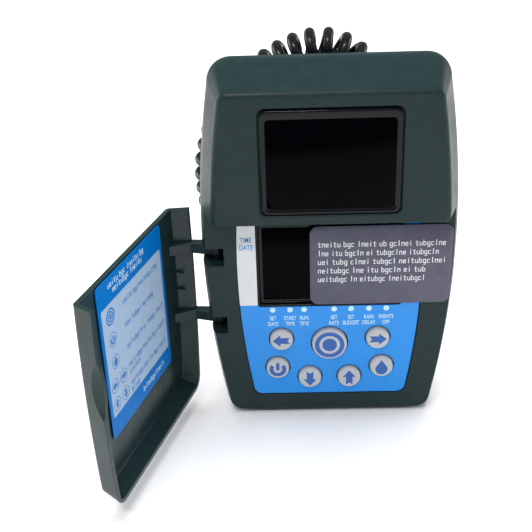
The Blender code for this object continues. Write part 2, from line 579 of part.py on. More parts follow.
def make_cover(finish):
    """The cover is modelled closed and hangs on an empty that is turned open."""
    hinge = empty("cover_hinge", place(PIVOT_X, PIVOT_Y, 0))
    hinge.rotation_euler = (0, 0, -math.radians(OPEN_ANGLE))
    back = -place(PIVOT_X, PIVOT_Y, 0)
    flat = COVER_EDGE - HOOD_PROUD
    depths = [-HOOD_PROUD, flat - COVER_EDGE * 0.87, flat - COVER_EDGE * 0.5, flat, -COVER_RIM_GAP]
    shell = add_object("cover", loft([cover_ring(y) for y in depths]), finish["housing"],
                       location=back, parent=hinge)
    inner_front = COVER_WALL - HOOD_PROUD
    hollow = add_cutter("cut_cover", loft([hollow_ring(inner_front, COVER_WALL + 0.6),
                                           hollow_ring(inner_front + 0.6, COVER_WALL),
                                           hollow_ring(0.5, COVER_WALL)]), hinge)
    hollow.location = back

    # a finger grip pressed into the free side
    free = COVER_SHIFT + half_width(COVER, COVER_BOTTOM + GRIP_HEIGHT)
    grips = []
    for name, grow in (("keep_grip", COVER_WALL), ("cut_grip", 0.0)):
        bm = bmesh.new()
        bmesh.ops.create_uvsphere(bm, u_segments=24, v_segments=12, radius=1.0)
        size = Matrix.Diagonal(((5.0 + grow) * MM, (7.0 + grow) * MM, (13.0 + grow) * MM))
        bmesh.ops.transform(bm, matrix=size.to_4x4(), verts=bm.verts)
        bmesh.ops.translate(bm, vec=place(free + 2.6, -COVER_RIM_GAP + 0.6, COVER_BOTTOM + GRIP_HEIGHT),
                            verts=bm.verts)
        grip = add_cutter(name, bm, hinge)
        grip.location = back
        grips.append(grip)
    combine(hollow, grips[0])
    combine(shell, hollow)

    # two arms run along the hinge wall into the slots and end in bosses round the pins
    wall = COVER_SHIFT - half_width(COVER, LOWER_SLOT)
    arms = bmesh.new()
    for floor in SLOT_FLOORS:
        points = [(wall + 7.9, inner_front - 0.4), (PIVOT_X + BOSS_RADIUS, -COVER_RIM_GAP + 0.6),
                  (PIVOT_X + BOSS_RADIUS, PIVOT_Y)]
        for step in range(1, 9):
            angle = math.radians(180 * step / 8)
            points.append((PIVOT_X + BOSS_RADIUS * math.cos(angle),
                           PIVOT_Y + BOSS_RADIUS * math.sin(angle)))
        points += [(PIVOT_X - 1.9, PIVOT_Y - 4.5), (PIVOT_X - 0.8, -COVER_RIM_GAP - 0.2),
                   (wall + 4.6, inner_front - 0.4)]
        low = floor + (SLOT_HEIGHT - ARM_HEIGHT) / 2
        face = arms.faces.new([arms.verts.new(place(x, y, low)) for x, y in points])
        moved = bmesh.ops.extrude_face_region(arms, geom=[face])["geom"]
        bmesh.ops.translate(arms, vec=(0, 0, ARM_HEIGHT * MM),
                            verts=[g for g in moved if isinstance(g, bmesh.types.BMVert)])
    bmesh.ops.recalc_face_normals(arms, faces=arms.faces)
    arms = add_cutter("add_arms", arms, hinge)
    arms.location = back
    combine(shell, arms, "UNION")
    combine(shell, grips[1])
    bores = bmesh.new()
    for floor in SLOT_FLOORS:
        spot = place(PIVOT_X, PIVOT_Y, floor + SLOT_HEIGHT / 2)
        bmesh.ops.create_cone(bores, cap_ends=True, segments=20, radius1=(PIN_RADIUS + GAP) * MM,
                              radius2=(PIN_RADIUS + GAP) * MM, depth=(ARM_HEIGHT + 2) * MM,
                              matrix=Matrix.Translation(spot))
    bores = add_cutter("cut_arm_bores", bores, hinge)
    bores.location = back
    combine(shell, bores)

    label = rounded_rectangle(COVER_LABEL_LEFT - HALF_WIDTH, HALF_WIDTH - COVER_LABEL_RIGHT,
                              COVER.low + COVER_LABEL_LOW, COVER.high - COVER_LABEL_TOP, 1.6)
    add_object("cover_label", prism(label, inner_front + GAP, inner_front + GAP + LABEL_THICKNESS),
               finish["door_print"], location=back, parent=hinge)
    for name, floor in (("hinge_pin_lower", LOWER_SLOT), ("hinge_pin_upper", UPPER_SLOT)):
        pin = bmesh.new()
        bmesh.ops.create_cone(pin, cap_ends=True, segments=20, radius1=PIN_RADIUS * MM,
                              radius2=PIN_RADIUS * MM, depth=(SLOT_HEIGHT + 2 * PIN_GRIP) * MM)
        add_object(name, pin, finish["steel"],
                   location=place(PIVOT_X, PIVOT_Y, floor + SLOT_HEIGHT / 2))


# ---- back: screws, solenoid and lead ---------------------------------------------------------------
def make_screws(finish):
    head_y = REAR_START + 4.0 + GAP
    profile = [(0, SEAM - 7.0), (SCREW_SHAFT, SEAM - 7.0), (SCREW_SHAFT, head_y),
               (SCREW_HEAD, head_y), (SCREW_HEAD, head_y + 1.3), (SCREW_HEAD - 0.6, head_y + 1.9),
               (0.9, head_y + 1.9), (0.9, head_y + 1.1), (0, head_y + 1.1)]
    for number, (x, z) in enumerate(POSTS, 1):
        add_object("screw_%d" % number, turned(profile, 16), finish["steel"],
                   location=place(x, 0, z))


def make_solenoid(finish):
    start = BACK + GAP
    end = start + SOLENOID_LENGTH
    r = SOLENOID_RADIUS
    dock = place(0, 0, DOCK_HEIGHT)
    body = [(0, start), (r - 0.8, start), (r, start + 0.8), (r, start + 8.0), (r - 0.8, start + 8.6),
            (r - 0.8, start + 10.4), (r, start + 11.0), (r, end - 1.5), (r - 1.5, end), (0, end)]
    add_object("solenoid_body", turned(body, 32), finish["solenoid"], location=dock)

    seat = end + GAP
    flange = seat + 3.2
    tip = flange + THREAD_LENGTH
    profile = [(0, seat), (14.0, seat), (14.0, flange), (THREAD_RADIUS - 1.0, flange)]
    pitch = THREAD_LENGTH / THREAD_TURNS
    for turn in range(1, THREAD_TURNS):
        y = flange + turn * pitch
        profile += [(THREAD_RADIUS - 1.0, y - pitch * 0.3), (THREAD_RADIUS, y),
                    (THREAD_RADIUS - 1.0, y + pitch * 0.3)]
    profile += [(THREAD_RADIUS - 1.0, tip), (BORE_RADIUS, tip), (BORE_RADIUS, seat + 1.8),
                (0, seat + 1.8)]
    add_object("valve_adapter", turned(profile), finish["solenoid"], location=dock)

    ring = [(THREAD_RADIUS + 1.5 + 1.2 * math.cos(math.radians(a)),
             flange + GAP + 1.2 + 1.2 * math.sin(math.radians(a))) for a in range(0, 360, 60)]
    add_object("adapter_o_ring", turned(ring, closed=True), finish["rubber"], location=dock)

    floor = seat + 1.8
    stem = floor + PLUNGER_TRAVEL + 0.6
    head = stem + 3.4
    profile = [(0, stem), (2.0, stem), (2.0, head), (BORE_RADIUS - 0.6, head),
               (BORE_RADIUS - 0.6, tip + 2.4), (BORE_RADIUS - 1.4, tip + 3.2), (0, tip + 3.2)]
    add_object("plunger", turned(profile, 20), finish["steel"], location=dock)
    make_spring("plunger_spring", 3.4, 0.4, floor + 0.7, head - 0.7, 3, finish["steel"])


def make_spring(name, radius, wire, y0, y1, turns, finish):
    """A coil spring round the plunger's stem, worked out turn by turn."""
    curve = bpy.data.curves.new(name, "CURVE")
    curve.dimensions = "3D"
    curve.bevel_depth = wire * MM
    curve.bevel_resolution = 1
    curve.use_fill_caps = True
    spline = curve.splines.new("POLY")
    steps = turns * 14
    spline.points.add(steps)
    for step in range(steps + 1):
        angle = 2 * math.pi * turns * step / steps
        y = y0 + (y1 - y0) * step / steps
        spot = place(radius * math.cos(angle), y, DOCK_HEIGHT + radius * math.sin(angle))
        spline.points[step].co = (*spot, 1.0)
    curve.materials.append(finish)
    item = bpy.data.objects.new(name, curve)
    bpy.context.scene.collection.objects.link(item)


def smooth_route(points, steps):
    """Points along a Catmull-Rom curve through the route's own points."""
    route = [2 * points[0] - points[1]] + points + [2 * points[-1] - points[-2]]
    result = []
    for k in range(1, len(route) - 2):
        a, b, c, d = route[k - 1:k + 3]
        for step in range(steps):
            t = step / steps
            result.append(0.5 * (2 * b + (c - a) * t + (2 * a - 5 * b + 4 * c - d) * t * t
                                 + (3 * b - a - 3 * c + d) * t ** 3))
    return result + [points[-1]]


def make_tube(name, points, radius, steps, sides, finish):
    curve = bpy.data.curves.new(name, "CURVE")
    curve.dimensions = "3D"
    curve.bevel_depth = radius * MM
    curve.bevel_resolution = sides
    curve.use_fill_caps = True
    route = smooth_route([place(*p) for p in points], steps)
    spline = curve.splines.new("POLY")
    spline.points.add(len(route) - 1)
    for point, spot in zip(spline.points, route):
        point.co = (*spot, 1.0)
    curve.materials.append(finish)
    item = bpy.data.objects.new(name, curve)
    bpy.context.scene.collection.objects.link(item)


def make_lead(finish):
    """Gland, curly lead and the strain relief on the solenoid."""
    x, z = GLAND
    relief = [(0, BACK - WALL - 0.8), (2.8, BACK - WALL - 0.8), (2.8, BACK + GAP), (6, BACK + GAP),
              (6, BACK + 3.0), (4.6, BACK + 3.4), (4.2, BACK + 6), (2.9, BACK + 13), (0, BACK + 13)]
    add_object("cable_gland", turned(relief, 20), finish["rubber"], location=place(x, 0, z))
    start = BACK + 13 + GAP
    tail = [(x, start, z), (x, start + 3, z), (x - 2.6, start + 5.4, z + 1.6),
            (x - 6.6, start + 4.8, z + 5.6), (x - 9.8, start + 2.2, z + 11.0)]
    make_tube("lead_tail_gland", tail, CORD_RADIUS, 3, 2, finish["rubber"])
    end = tail[-1]
    along = (Vector(tail[-1]) - Vector(tail[-2])).normalized()
    first = Vector(end) + along * GAP * 1.5
    coil = [tuple(first), (-38.5, 46.0, 55.0), (-42.5, 45.0, 66.0), (-44.2, 44.0, 78.0),
            (-43.6, 43.0, 91.0), (-38.6, 43.0, 106.0), (-29.5, 43.0, 119.0), (-19.1, 43.0, 127.0),
            (-10.0, 43.0, 131.7), (-1.5, 43.0, 133.4), (6.3, 43.0, 131.6), (13.0, 43.5, 126.6),
            (18.0, 44.5, 119.0), (20.5, 46.0, 110.0), (21.3, 47.5, 100.5)]
    make_tube("lead_coil", coil, COIL_RADIUS, 2, 2, finish["rubber"])

    out = math.sqrt(0.5)
    middle = BACK + 17.0
    reach = SOLENOID_RADIUS + 0.5
    taper = [(0, 0), (4.4, 0), (4.4, 2.2), (3.6, 2.8), (2.8, 9.0), (0, 9.0)]
    base = place(reach * out, middle, DOCK_HEIGHT + reach * out)
    add_object("solenoid_strain_relief", turned(taper, 20), finish["rubber"], location=base,
               rotation=Vector((0, 1, 0)).rotation_difference(Vector((out, 0, out))).to_euler())
    reach += 9.0 + GAP
    last = Vector(coil[-1]) + (Vector(coil[-1]) - Vector(coil[-2])).normalized() * GAP * 1.5
    tail = [(reach * out, middle, DOCK_HEIGHT + reach * out),
            (reach * out + 1.8, middle, DOCK_HEIGHT + reach * out + 1.8),
            (21.6, middle - 0.4, 86.5), (22.2, 48.6, 93.0), tuple(last)]
    make_tube("lead_tail_solenoid", tail, CORD_RADIUS, 3, 2, finish["rubber"])


def main():
    for item in list(bpy.data.objects):
        bpy.data.objects.remove(item, do_unlink=True)
    finish = make_finishes()
    make_front_shell(finish)
    make_rear_shell(finish)
    make_gasket(finish)
    make_window(finish)
    make_panel(finish)
    for name, (x, z) in BUTTONS.items():
        make_button(name, x, z, finish)
    make_electronics(finish)
    make_cover(finish)
    make_screws(finish)
    make_solenoid(finish)
    make_lead(finish)


main()
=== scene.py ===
"""Light-powered irrigation controller: its finished surfaces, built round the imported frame.

Sizes are in millimetres and turn into metres where a mesh is made.  X runs to the right, Z up,
and depths along Y are counted from the ledge that the cover closes onto.
"""

import math
from collections import namedtuple

import bmesh
import bpy
from mathutils import Matrix, Vector


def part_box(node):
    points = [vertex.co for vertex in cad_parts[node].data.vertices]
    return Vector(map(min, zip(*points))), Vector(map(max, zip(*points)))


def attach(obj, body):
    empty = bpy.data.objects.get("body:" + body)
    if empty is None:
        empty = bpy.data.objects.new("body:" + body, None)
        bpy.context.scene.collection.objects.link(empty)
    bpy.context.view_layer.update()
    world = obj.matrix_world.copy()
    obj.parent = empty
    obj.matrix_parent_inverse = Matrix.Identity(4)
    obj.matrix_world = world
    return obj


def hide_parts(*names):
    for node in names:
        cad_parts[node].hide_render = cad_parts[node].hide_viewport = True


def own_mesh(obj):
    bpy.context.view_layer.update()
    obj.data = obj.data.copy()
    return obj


bl_info = {
    "name": "Irrigation controller",
    "version": (1, 0, 0),
    "blender": (4, 5, 0),
    "location": "View3D > Sidebar > Controller",
    "description": "Builds a light-powered irrigation controller with its cover, buttons and lead",
    "category": "Object",
}

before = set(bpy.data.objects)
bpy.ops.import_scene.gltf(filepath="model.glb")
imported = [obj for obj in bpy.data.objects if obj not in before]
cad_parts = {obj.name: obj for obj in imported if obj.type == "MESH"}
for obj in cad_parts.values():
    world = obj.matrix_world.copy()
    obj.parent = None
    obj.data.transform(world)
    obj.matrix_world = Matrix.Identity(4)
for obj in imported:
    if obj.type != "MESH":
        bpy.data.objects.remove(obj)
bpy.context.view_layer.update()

MM = 0.001
LEDGE_DEPTH = 20.0          # origin behind the ledge
GAP = 0.3
FULL_TURN = 2 * math.pi

# ---- housing -------------------------------------------------------------------------
SHELL_LOW, SHELL_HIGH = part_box("front_shell")
HEIGHT = SHELL_HIGH.z / MM
HALF_WIDTH = SHELL_HIGH.x / MM
HOOD_FRONT = SHELL_LOW.y / MM + LEDGE_DEPTH
SEAM = SHELL_HIGH.y / MM + LEDGE_DEPTH
REAR_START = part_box("rear_shell")[0].y / MM + LEDGE_DEPTH
BACK = REAR_START + 18.4
HOOD_BOTTOM = 84.3
WALL = 2.2
WIDEST_DEPTH = 4.8
SIDE_FLARE = math.tan(math.radians(20))
TOP_SLOPE = math.tan(math.radians(30.9))
TOP_BREAK = 9.0             # behind this depth the top falls away again
TOP_FALL = math.tan(math.radians(20))
REAR_SLOPE = math.tan(math.radians(27))
REAR_FLARE = math.tan(math.radians(15))
PANEL_RECESS = 1.0
LABEL_FRONT = PANEL_RECESS - GAP - 0.25
WINDOW_HALF = 23.65
WINDOW_LOW, WINDOW_HIGH = 88.5, 125.6
WINDOW_SEAT = 3.6
LCD_HALF = 26.5
LCD_LOW, LCD_HIGH = 47.1, 80.9
POSTS = [(side * 29.0, height) for side in (-1, 1) for height in (10.5, 118.0)]

# ---- cover ---------------------------------------------------------------------------
OPEN_ANGLE = math.radians(106.5)
PIVOT_X, PIVOT_Y = -41.3, 8.4
SLOT_FLOORS = (36.3, 64.7)
SLOT_HEIGHT = 7.0
ARM_HEIGHT = 4.2
COVER_WALL = 1.8
COVER_RIM = -1.1
COVER_LEAN = 0.40
COVER_INNER = HOOD_FRONT + COVER_WALL
COVER_LOW, COVER_HIGH = 7.1, 83.7
COVER_LABEL_LEFT, COVER_LABEL_RIGHT = -26.0, 24.0
COVER_LABEL_LOW, COVER_LABEL_HIGH = COVER_LOW + 18.8, COVER_HIGH - 0.6
GRIP_HEIGHT = 48.0          # middle of the finger grip above the cover's bottom

# ---- buttons: place and radius of each -----------------------------------------------
BUTTONS = {
    "left": (-18.05, 33.3, 4.4), "select": (0.0, 31.2, 6.6), "right": (18.05, 33.3, 4.4),
    "power": (-19.75, 20.7, 4.4), "down": (-7.5, 16.2, 4.4), "up": (7.5, 16.2, 4.4),
    "water": (19.75, 20.7, 4.4),
}
CAP_FACE = -1.3

# ---- solenoid and lead ---------------------------------------------------------------
DOCK_HEIGHT = 62.0
SOLENOID_RADIUS = 16.0
GLAND = (-22.0, 30.0)
COIL_CREST = 112.4          # along the coil, where a turn stands at the top of the arch

Form = namedtuple("Form", "base top bulge low high shift")
HOUSING = Form(HALF_WIDTH - 7.4, HALF_WIDTH - 6.6, 6.9, 0.0, HEIGHT, 0.0)
PANEL = Form(28.7, 33.0, 2.4, 8.25, 84.0, 0.0)
COVER = Form(37.6, 39.5, 1.4, COVER_LOW, COVER_HIGH, -1.95)


# ---- sizes and colours a user would change -------------------------------------------
def size(name, text, default):
    """A length property in metres, named and described."""
    return bpy.props.FloatProperty(name=name, description=text, default=default, min=0.0,
                                   unit="LENGTH", precision=5)


def colour(name, text, default):
    return bpy.props.FloatVectorProperty(name=name, description=text, default=default, size=3,
                                         min=0.0, max=1.0, subtype="COLOR")


class ControllerSizes(bpy.types.PropertyGroup):
    """Roundings and print sizes."""
    hood_rounding: size("Hood rounding", "Rounding round the hood's front", 0.0027)
    ledge_rounding: size("Ledge rounding", "Rounding where the ledge meets the sides", 0.0005)
    recess_rounding: size("Recess rounding", "Rounding round the printed panel's recess", 0.00045)
    cover_rounding: size("Cover rounding", "Rounding round the cover's front", 0.0018)
    print_depth: size("Print depth", "Thickness of the printed ink", 0.00003)
    cord_diameter: size("Cord diameter", "Thickness of the curly lead's cord", 0.004)
    coil_pitch: size("Coil pitch", "Distance between turns of the curly lead", 0.00566)


class ControllerColours(bpy.types.PropertyGroup):
    """Base colours of the finishes."""
    housing: colour("Housing", "Moulded housing and cover", (0.0125, 0.0290, 0.0300))
    panel: colour("Panel", "Printed panel's blue", (0.0, 0.285, 0.83))
    label: colour("Label", "Blue of the cover's label", (0.0, 0.17, 0.56))
    strip: colour("Strip", "White strip beside the display", (0.78, 0.80, 0.80))
    symbol: colour("Symbol", "Symbols on the buttons", (0.026, 0.115, 0.42))
    button: colour("Button", "Push button caps", (0.52, 0.53, 0.55))
    film: colour("Film", "Film stuck over the display", (0.082, 0.080, 0.125))
    field: colour("Field", "Pale field of the cover's label", (0.40, 0.53, 0.70))
    cord: colour("Cord", "Lead and rubber pieces", (0.005, 0.005, 0.006))


# ---- shapes --------------------------------------------------------------------------
def at(x, y, z):
    """A point counted from the ledge in millimetres, as metres in the frame."""
    return Vector((x, y - LEDGE_DEPTH, z)) * MM


def half_width(form, z):
    t = (z - form.low) / (form.high - form.low)
    return form.base * (1 - t) + form.top * t + 4 * form.bulge * t * (1 - t)


def outline(form, side, low, high, low_r, high_r, corner=8, along=28):
    """A bulged outline as (x, z) points between two heights, drawn in at its sides."""
    right = []
    x = half_width(form, low + low_r) - side - low_r
    for step in range(corner + 1):
        angle = math.radians(90 * step / corner - 90)
        right.append((x + low_r * math.cos(angle), low + low_r + low_r * math.sin(angle)))
    for step in range(1, along):
        z = low + low_r + (high - low - low_r - high_r) * step / along
        right.append((half_width(form, z) - side, z))
    x = half_width(form, high - high_r) - side - high_r
    for step in range(corner + 1):
        angle = math.radians(90 * step / corner)
        right.append((x + high_r * math.cos(angle), high - high_r + high_r * math.sin(angle)))
    return [(px + form.shift, pz) for px, pz in right + [(-px, pz) for px, pz in reversed(right)]]


def rounded(x0, x1, z0, z1, radius, steps=8):
    """Outline of a rectangle with round corners, as (x, z) points."""
    points = []
    for x, z, start in ((x1 - radius, z0 + radius, -90), (x1 - radius, z1 - radius, 0),
                        (x0 + radius, z1 - radius, 90), (x0 + radius, z0 + radius, 180)):
        for step in range(steps + 1):
            angle = math.radians(start + 90 * step / steps)
            points.append((x + radius * math.cos(angle), z + radius * math.sin(angle)))
    return points


def circle(x, z, radius, steps=48):
    turn = FULL_TURN / steps
    return [(x + radius * math.cos(turn * k), z + radius * math.sin(turn * k))
            for k in range(steps)]


def loft(rings, bm=None, closed=False):
    """A solid through outlines at the given depths; closed joins the last ring to the first."""
    bm = bm or bmesh.new()
    loops = []
    for y, points in rings:
        verts = [bm.verts.new(at(x, y, z)) for x, z in points]
        loops.append([bm.edges.new((verts[k - 1], verts[k])) for k in range(len(verts))])
    pairs = list(zip(loops, loops[1:]))
    if closed:
        pairs.append((loops[-1], loops[0]))
    else:
        for end in (loops[0], loops[-1]):
            bmesh.ops.edgeloop_fill(bm, edges=end)
    for first, second in pairs:
        bmesh.ops.bridge_loops(bm, edges=first + second)
    bmesh.ops.recalc_face_normals(bm, faces=bm.faces)
    return bm


def prism(points, y0, y1, bm=None):
    return loft([(y0, points), (y1, points)], bm)


def block(x0, x1, y0, y1, z0, z1, bm=None):
    return prism([(x0, z0), (x1, z0), (x1, z1), (x0, z1)], y0, y1, bm)


def round_rim(bm, y, width, segments=6):
    """Round the edge all round the flat end that lies at depth y."""
    level = at(0, y, 0).y
    rim = [e for e in bm.edges if all(abs(v.co.y - level) < 1e-7 for v in e.verts)]
    bmesh.ops.bevel(bm, geom=rim, offset=width * MM, segments=segments, profile=0.5,
                    affect="EDGES", clamp_overlap=True, material=-1)
    return bm


def mouth(shape, y0, y1, radius, bm=None):
    """A cutter whose opening at depth y0 leaves a rounded edge; shape(grow) is its outline."""
    rings = [(y0 - 1.0, shape(radius)), (y0, shape(radius))]
    for step in range(1, 5):
        angle = math.radians(22.5 * step)
        rings.append((y0 + radius * (1 - math.cos(angle)), shape(radius * (1 - math.sin(angle)))))
    rings.append((y1, shape(0.0)))
    return loft(rings, bm)


def turned(profile, steps=64, closed=False):
    """A solid of revolution about Y through the origin; the profile is (radius, y) points."""
    bm = bmesh.new()
    verts = [bm.verts.new((r * MM, (y - LEDGE_DEPTH) * MM, 0)) for r, y in profile]
    pairs = list(zip(verts, verts[1:]))
    if closed:
        pairs.append((verts[-1], verts[0]))
    edges = [bm.edges.new(pair) for pair in pairs]
    bmesh.ops.spin(bm, geom=verts + edges, cent=(0, 0, 0), axis=(0, 1, 0), angle=FULL_TURN,
                   steps=steps, use_merge=True)
    bmesh.ops.remove_doubles(bm, verts=bm.verts, dist=1e-7)
    bmesh.ops.recalc_face_normals(bm, faces=bm.faces)
    return bm


def moved(bm, x, z):
    bmesh.ops.translate(bm, verts=bm.verts, vec=(x * MM, 0, z * MM))
    return bm


def swung(bm):
    """Turn a shape that was made on the closed cover to where the open cover stands."""
    pivot = at(PIVOT_X, PIVOT_Y, 0)
    turn = (Matrix.Translation(pivot) @ Matrix.Rotation(-OPEN_ANGLE, 4, "Z")
            @ Matrix.Translation(-pivot))
    bmesh.ops.transform(bm, matrix=turn, verts=bm.verts)
    return bm


# ---- pieces --------------------------------------------------------------------------
def add_piece(name, bm, finish, body="housing", replaces=(), angle=32, weighted=False):
    """Make a piece of the mesh: its finish, its body and the CAD nodes that it stands for."""
    mesh = bpy.data.meshes.new(name)
    bm.to_mesh(mesh)
    bm.free()
    mesh.shade_smooth()
    mesh.set_sharp_from_angle(angle=math.radians(angle))
    for shader in finish if isinstance(finish, (list, tuple)) else [finish]:
        mesh.materials.append(shader)
    item = bpy.data.objects.new(name, mesh)
    bpy.context.scene.collection.objects.link(item)
    if weighted:
        modifier = item.modifiers.new("even_normals", "WEIGHTED_NORMAL")
        modifier.keep_sharp = True
        modifier.weight = 80
    settle(item, body, replaces)
    return item


def settle(item, body, replaces):
    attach(item, body)
    if replaces:
        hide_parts(*replaces)


def carve(bm, *cuts):
    """Apply (operation, shape) pairs to a solid one after another, and give its new mesh back."""
    mesh = bpy.data.meshes.new("blank")
    bm.to_mesh(mesh)
    bm.free()
    blank = bpy.data.objects.new("blank", mesh)
    bpy.context.scene.collection.objects.link(blank)
    tools = []
    for operation, shape in cuts:
        tool = bpy.data.objects.new("tool", bpy.data.meshes.new("tool"))
        shape.to_mesh(tool.data)
        shape.free()
        bpy.context.scene.collection.objects.link(tool)
        modifier = blank.modifiers.new("cut", "BOOLEAN")
        modifier.operation = operation
        modifier.object = tool
        modifier.solver = "EXACT"
        tools.append(tool)
    depsgraph = bpy.context.evaluated_depsgraph_get()
    result = bmesh.new()
    result.from_object(blank, depsgraph)
    for item in [blank] + tools:
        data = item.data
        bpy.data.objects.remove(item)
        bpy.data.meshes.remove(data)
    if not result.faces:
        raise RuntimeError("a cut left nothing")
    bmesh.ops.remove_doubles(result, verts=result.verts, dist=2e-6)
    return result


CUT, JOIN = "DIFFERENCE", "UNION"


# ---- finishes ------------------------------------------------------------------------
def finish_nodes(name):
    """A new material with its Principled shader and the piece's own coordinates."""
    shader = bpy.data.materials.new(name)
    shader.use_nodes = True
    tree = shader.node_tree
    principled = tree.nodes["Principled BSDF"]
    coordinates = tree.nodes.new("ShaderNodeTexCoord").outputs["Object"]
    return shader, tree, principled, coordinates


def noise(tree, vector, scale, detail=3.0, stretch=None):
    if stretch:
        mapping = tree.nodes.new("ShaderNodeMapping")
        mapping.inputs["Scale"].default_value = stretch
        tree.links.new(vector, mapping.inputs["Vector"])
        vector = mapping.outputs["Vector"]
    texture = tree.nodes.new("ShaderNodeTexNoise")
    texture.inputs["Scale"].default_value = scale
    texture.inputs["Detail"].default_value = detail
    tree.links.new(vector, texture.inputs["Vector"])
    return texture.outputs["Fac"]


def spread(tree, value, low, high):
    """Turn a pattern's middle range into values from low to high."""
    node = tree.nodes.new("ShaderNodeMapRange")
    node.inputs["From Min"].default_value = 0.3
    node.inputs["From Max"].default_value = 0.7
    node.inputs["To Min"].default_value = low
    node.inputs["To Max"].default_value = high
    tree.links.new(value, node.inputs["Value"])
    return node.outputs["Result"]


def moulded(name, base, roughness, mottle=0.08, grain=0.25, grain_scale=2200.0, uneven=0.06,
            specular=0.5, metallic=0.0, coat=0.0, stretch=None):
    """Plastic, rubber, print or metal: mottled colour, uneven gloss and a fine surface grain."""
    known = bpy.data.materials.get(name)
    if known:
        return known
    shader, tree, principled, coordinates = finish_nodes(name)
    ramp = tree.nodes.new("ShaderNodeValToRGB")
    ramp.color_ramp.elements[0].position = 0.3
    ramp.color_ramp.elements[1].position = 0.7
    ramp.color_ramp.elements[0].color = (*[c * (1 - mottle) for c in base], 1)
    ramp.color_ramp.elements[1].color = (*[min(c * (1 + mottle), 1) for c in base], 1)
    tree.links.new(noise(tree, coordinates, 260.0, 4.0, stretch), ramp.inputs["Fac"])
    tree.links.new(ramp.outputs["Color"], principled.inputs["Base Color"])
    gloss = spread(tree, noise(tree, coordinates, 90.0, 3.0, stretch),
                   max(roughness - uneven, 0.02), roughness + uneven)
    tree.links.new(gloss, principled.inputs["Roughness"])
    bump = tree.nodes.new("ShaderNodeBump")
    bump.inputs["Strength"].default_value = grain
    bump.inputs["Distance"].default_value = 0.00006
    tree.links.new(noise(tree, coordinates, grain_scale, 2.0, stretch), bump.inputs["Height"])
    tree.links.new(bump.outputs["Normal"], principled.inputs["Normal"])
    principled.inputs["Specular IOR Level"].default_value = specular
    principled.inputs["Metallic"].default_value = metallic
    principled.inputs["Coat Weight"].default_value = coat
    return shader


def finishes():
    """Every finish of the object, by the name of what it is on."""
    colours = bpy.context.scene.controller_colours
    cord = tuple(colours.cord)
    return {
        "housing": moulded("housing_plastic", tuple(colours.housing), 0.38, 0.10, 1.0, 1500.0,
                           specular=0.20),
        "cover": moulded("cover_plastic", tuple(colours.housing), 0.30, 0.10, 0.30, 1500.0,
                         specular=0.30),
        "panel": moulded("panel_print", tuple(colours.panel), 0.36, 0.03, 0.20, 1800.0,
                         specular=0.10),
        "label": moulded("label_print", tuple(colours.label), 0.36, 0.03, 0.20, 1800.0,
                         specular=0.10),
        "strip": moulded("strip_print", tuple(colours.strip), 0.42, 0.03, 0.35, 2400.0,
                         specular=0.3),
        "words": moulded("word_print", (0.62, 0.86, 0.95), 0.4, 0.02, 0.1, specular=0.3),
        "blue_words": moulded("blue_word_print", (0.01, 0.30, 0.72), 0.4, 0.03, 0.1,
                              specular=0.3),
        "field": moulded("field_print", tuple(colours.field), 0.38, 0.03, 0.2, 1800.0,
                         specular=0.12),
        "field_words": moulded("field_word_print", (0.03, 0.20, 0.55), 0.4, 0.05, 0.1,
                               specular=0.3),
        "button": moulded("button_plastic", tuple(colours.button), 0.3, 0.03, 0.15, 2600.0),
        "symbol": moulded("symbol_print", tuple(colours.symbol), 0.34, 0.06, 0.15,
                          specular=0.4),
        "film": moulded("notice_film", tuple(colours.film), 0.38, 0.10, 0.30, 1400.0,
                        specular=0.45),
        "film_words": moulded("film_word_print", (0.86, 0.87, 0.88), 0.4, 0.03, 0.1,
                              specular=0.3),
        "gloss": moulded("black_gloss", (0.003, 0.003, 0.004), 0.10, 0.2, 0.03, 300.0, 0.04,
                         specular=0.22),
        "glass": moulded("window_glass", (0.0005, 0.0006, 0.0012), 0.06, 0.3, 0.02, 200.0, 0.03,
                         specular=0.03),
        "cord": moulded("lead_sheath", cord, 0.30, 0.15, 0.25, 900.0, 0.08),
        "rubber": moulded("black_rubber", cord, 0.55, 0.15, 0.4, 1600.0, 0.08),
        "solenoid": moulded("solenoid_plastic", (0.014, 0.014, 0.015), 0.36, 0.12, 0.5, 1500.0),
        "steel": moulded("turned_steel", (0.60, 0.60, 0.58), 0.26, 0.05, 0.5, 700.0, 0.07,
                         metallic=1.0, stretch=(1.0, 1.0, 8.0)),
        "board": moulded("board_green", (0.02, 0.16, 0.06), 0.45, 0.2, 0.4, 900.0),
        "switch": moulded("switch_black", (0.03, 0.03, 0.03), 0.40, 0.1, 0.3),
        "display": moulded("display_grey", (0.20, 0.23, 0.20), 0.15, 0.05, 0.05),
        "cell": moulded("solar_cell", (0.008, 0.012, 0.05), 0.18, 0.3, 0.1, 300.0),
        "capacitor": moulded("capacitor_sleeve", (0.04, 0.06, 0.18), 0.35, 0.08, 0.2),
    }


def coat_nodes(finish, *names):
    """Give CAD nodes that stay in view their finish."""
    for name in names:
        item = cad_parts[name]
        item.data.materials.clear()
        item.data.materials.append(finish)


# ---- stage: camera, lights and floor -------------------------------------------------
def place_camera():
    scene = bpy.context.scene
    data = bpy.data.cameras.new("view")
    data.sensor_width = 36.0
    data.lens = 63.04
    camera = bpy.data.objects.new("view", data)
    scene.collection.objects.link(camera)
    yaw, pitch, roll = (math.radians(a) for a in (1.666, 27.383, -2.002))
    turn = (Matrix.Rotation(yaw, 3, "Z") @ Matrix.Rotation(math.pi / 2 - pitch, 3, "X")
            @ Matrix.Rotation(roll, 3, "Z"))
    camera.matrix_world = (Matrix.Translation((-0.01425, -0.31896, 0.21946))
                           @ turn.to_4x4())
    scene.camera = camera


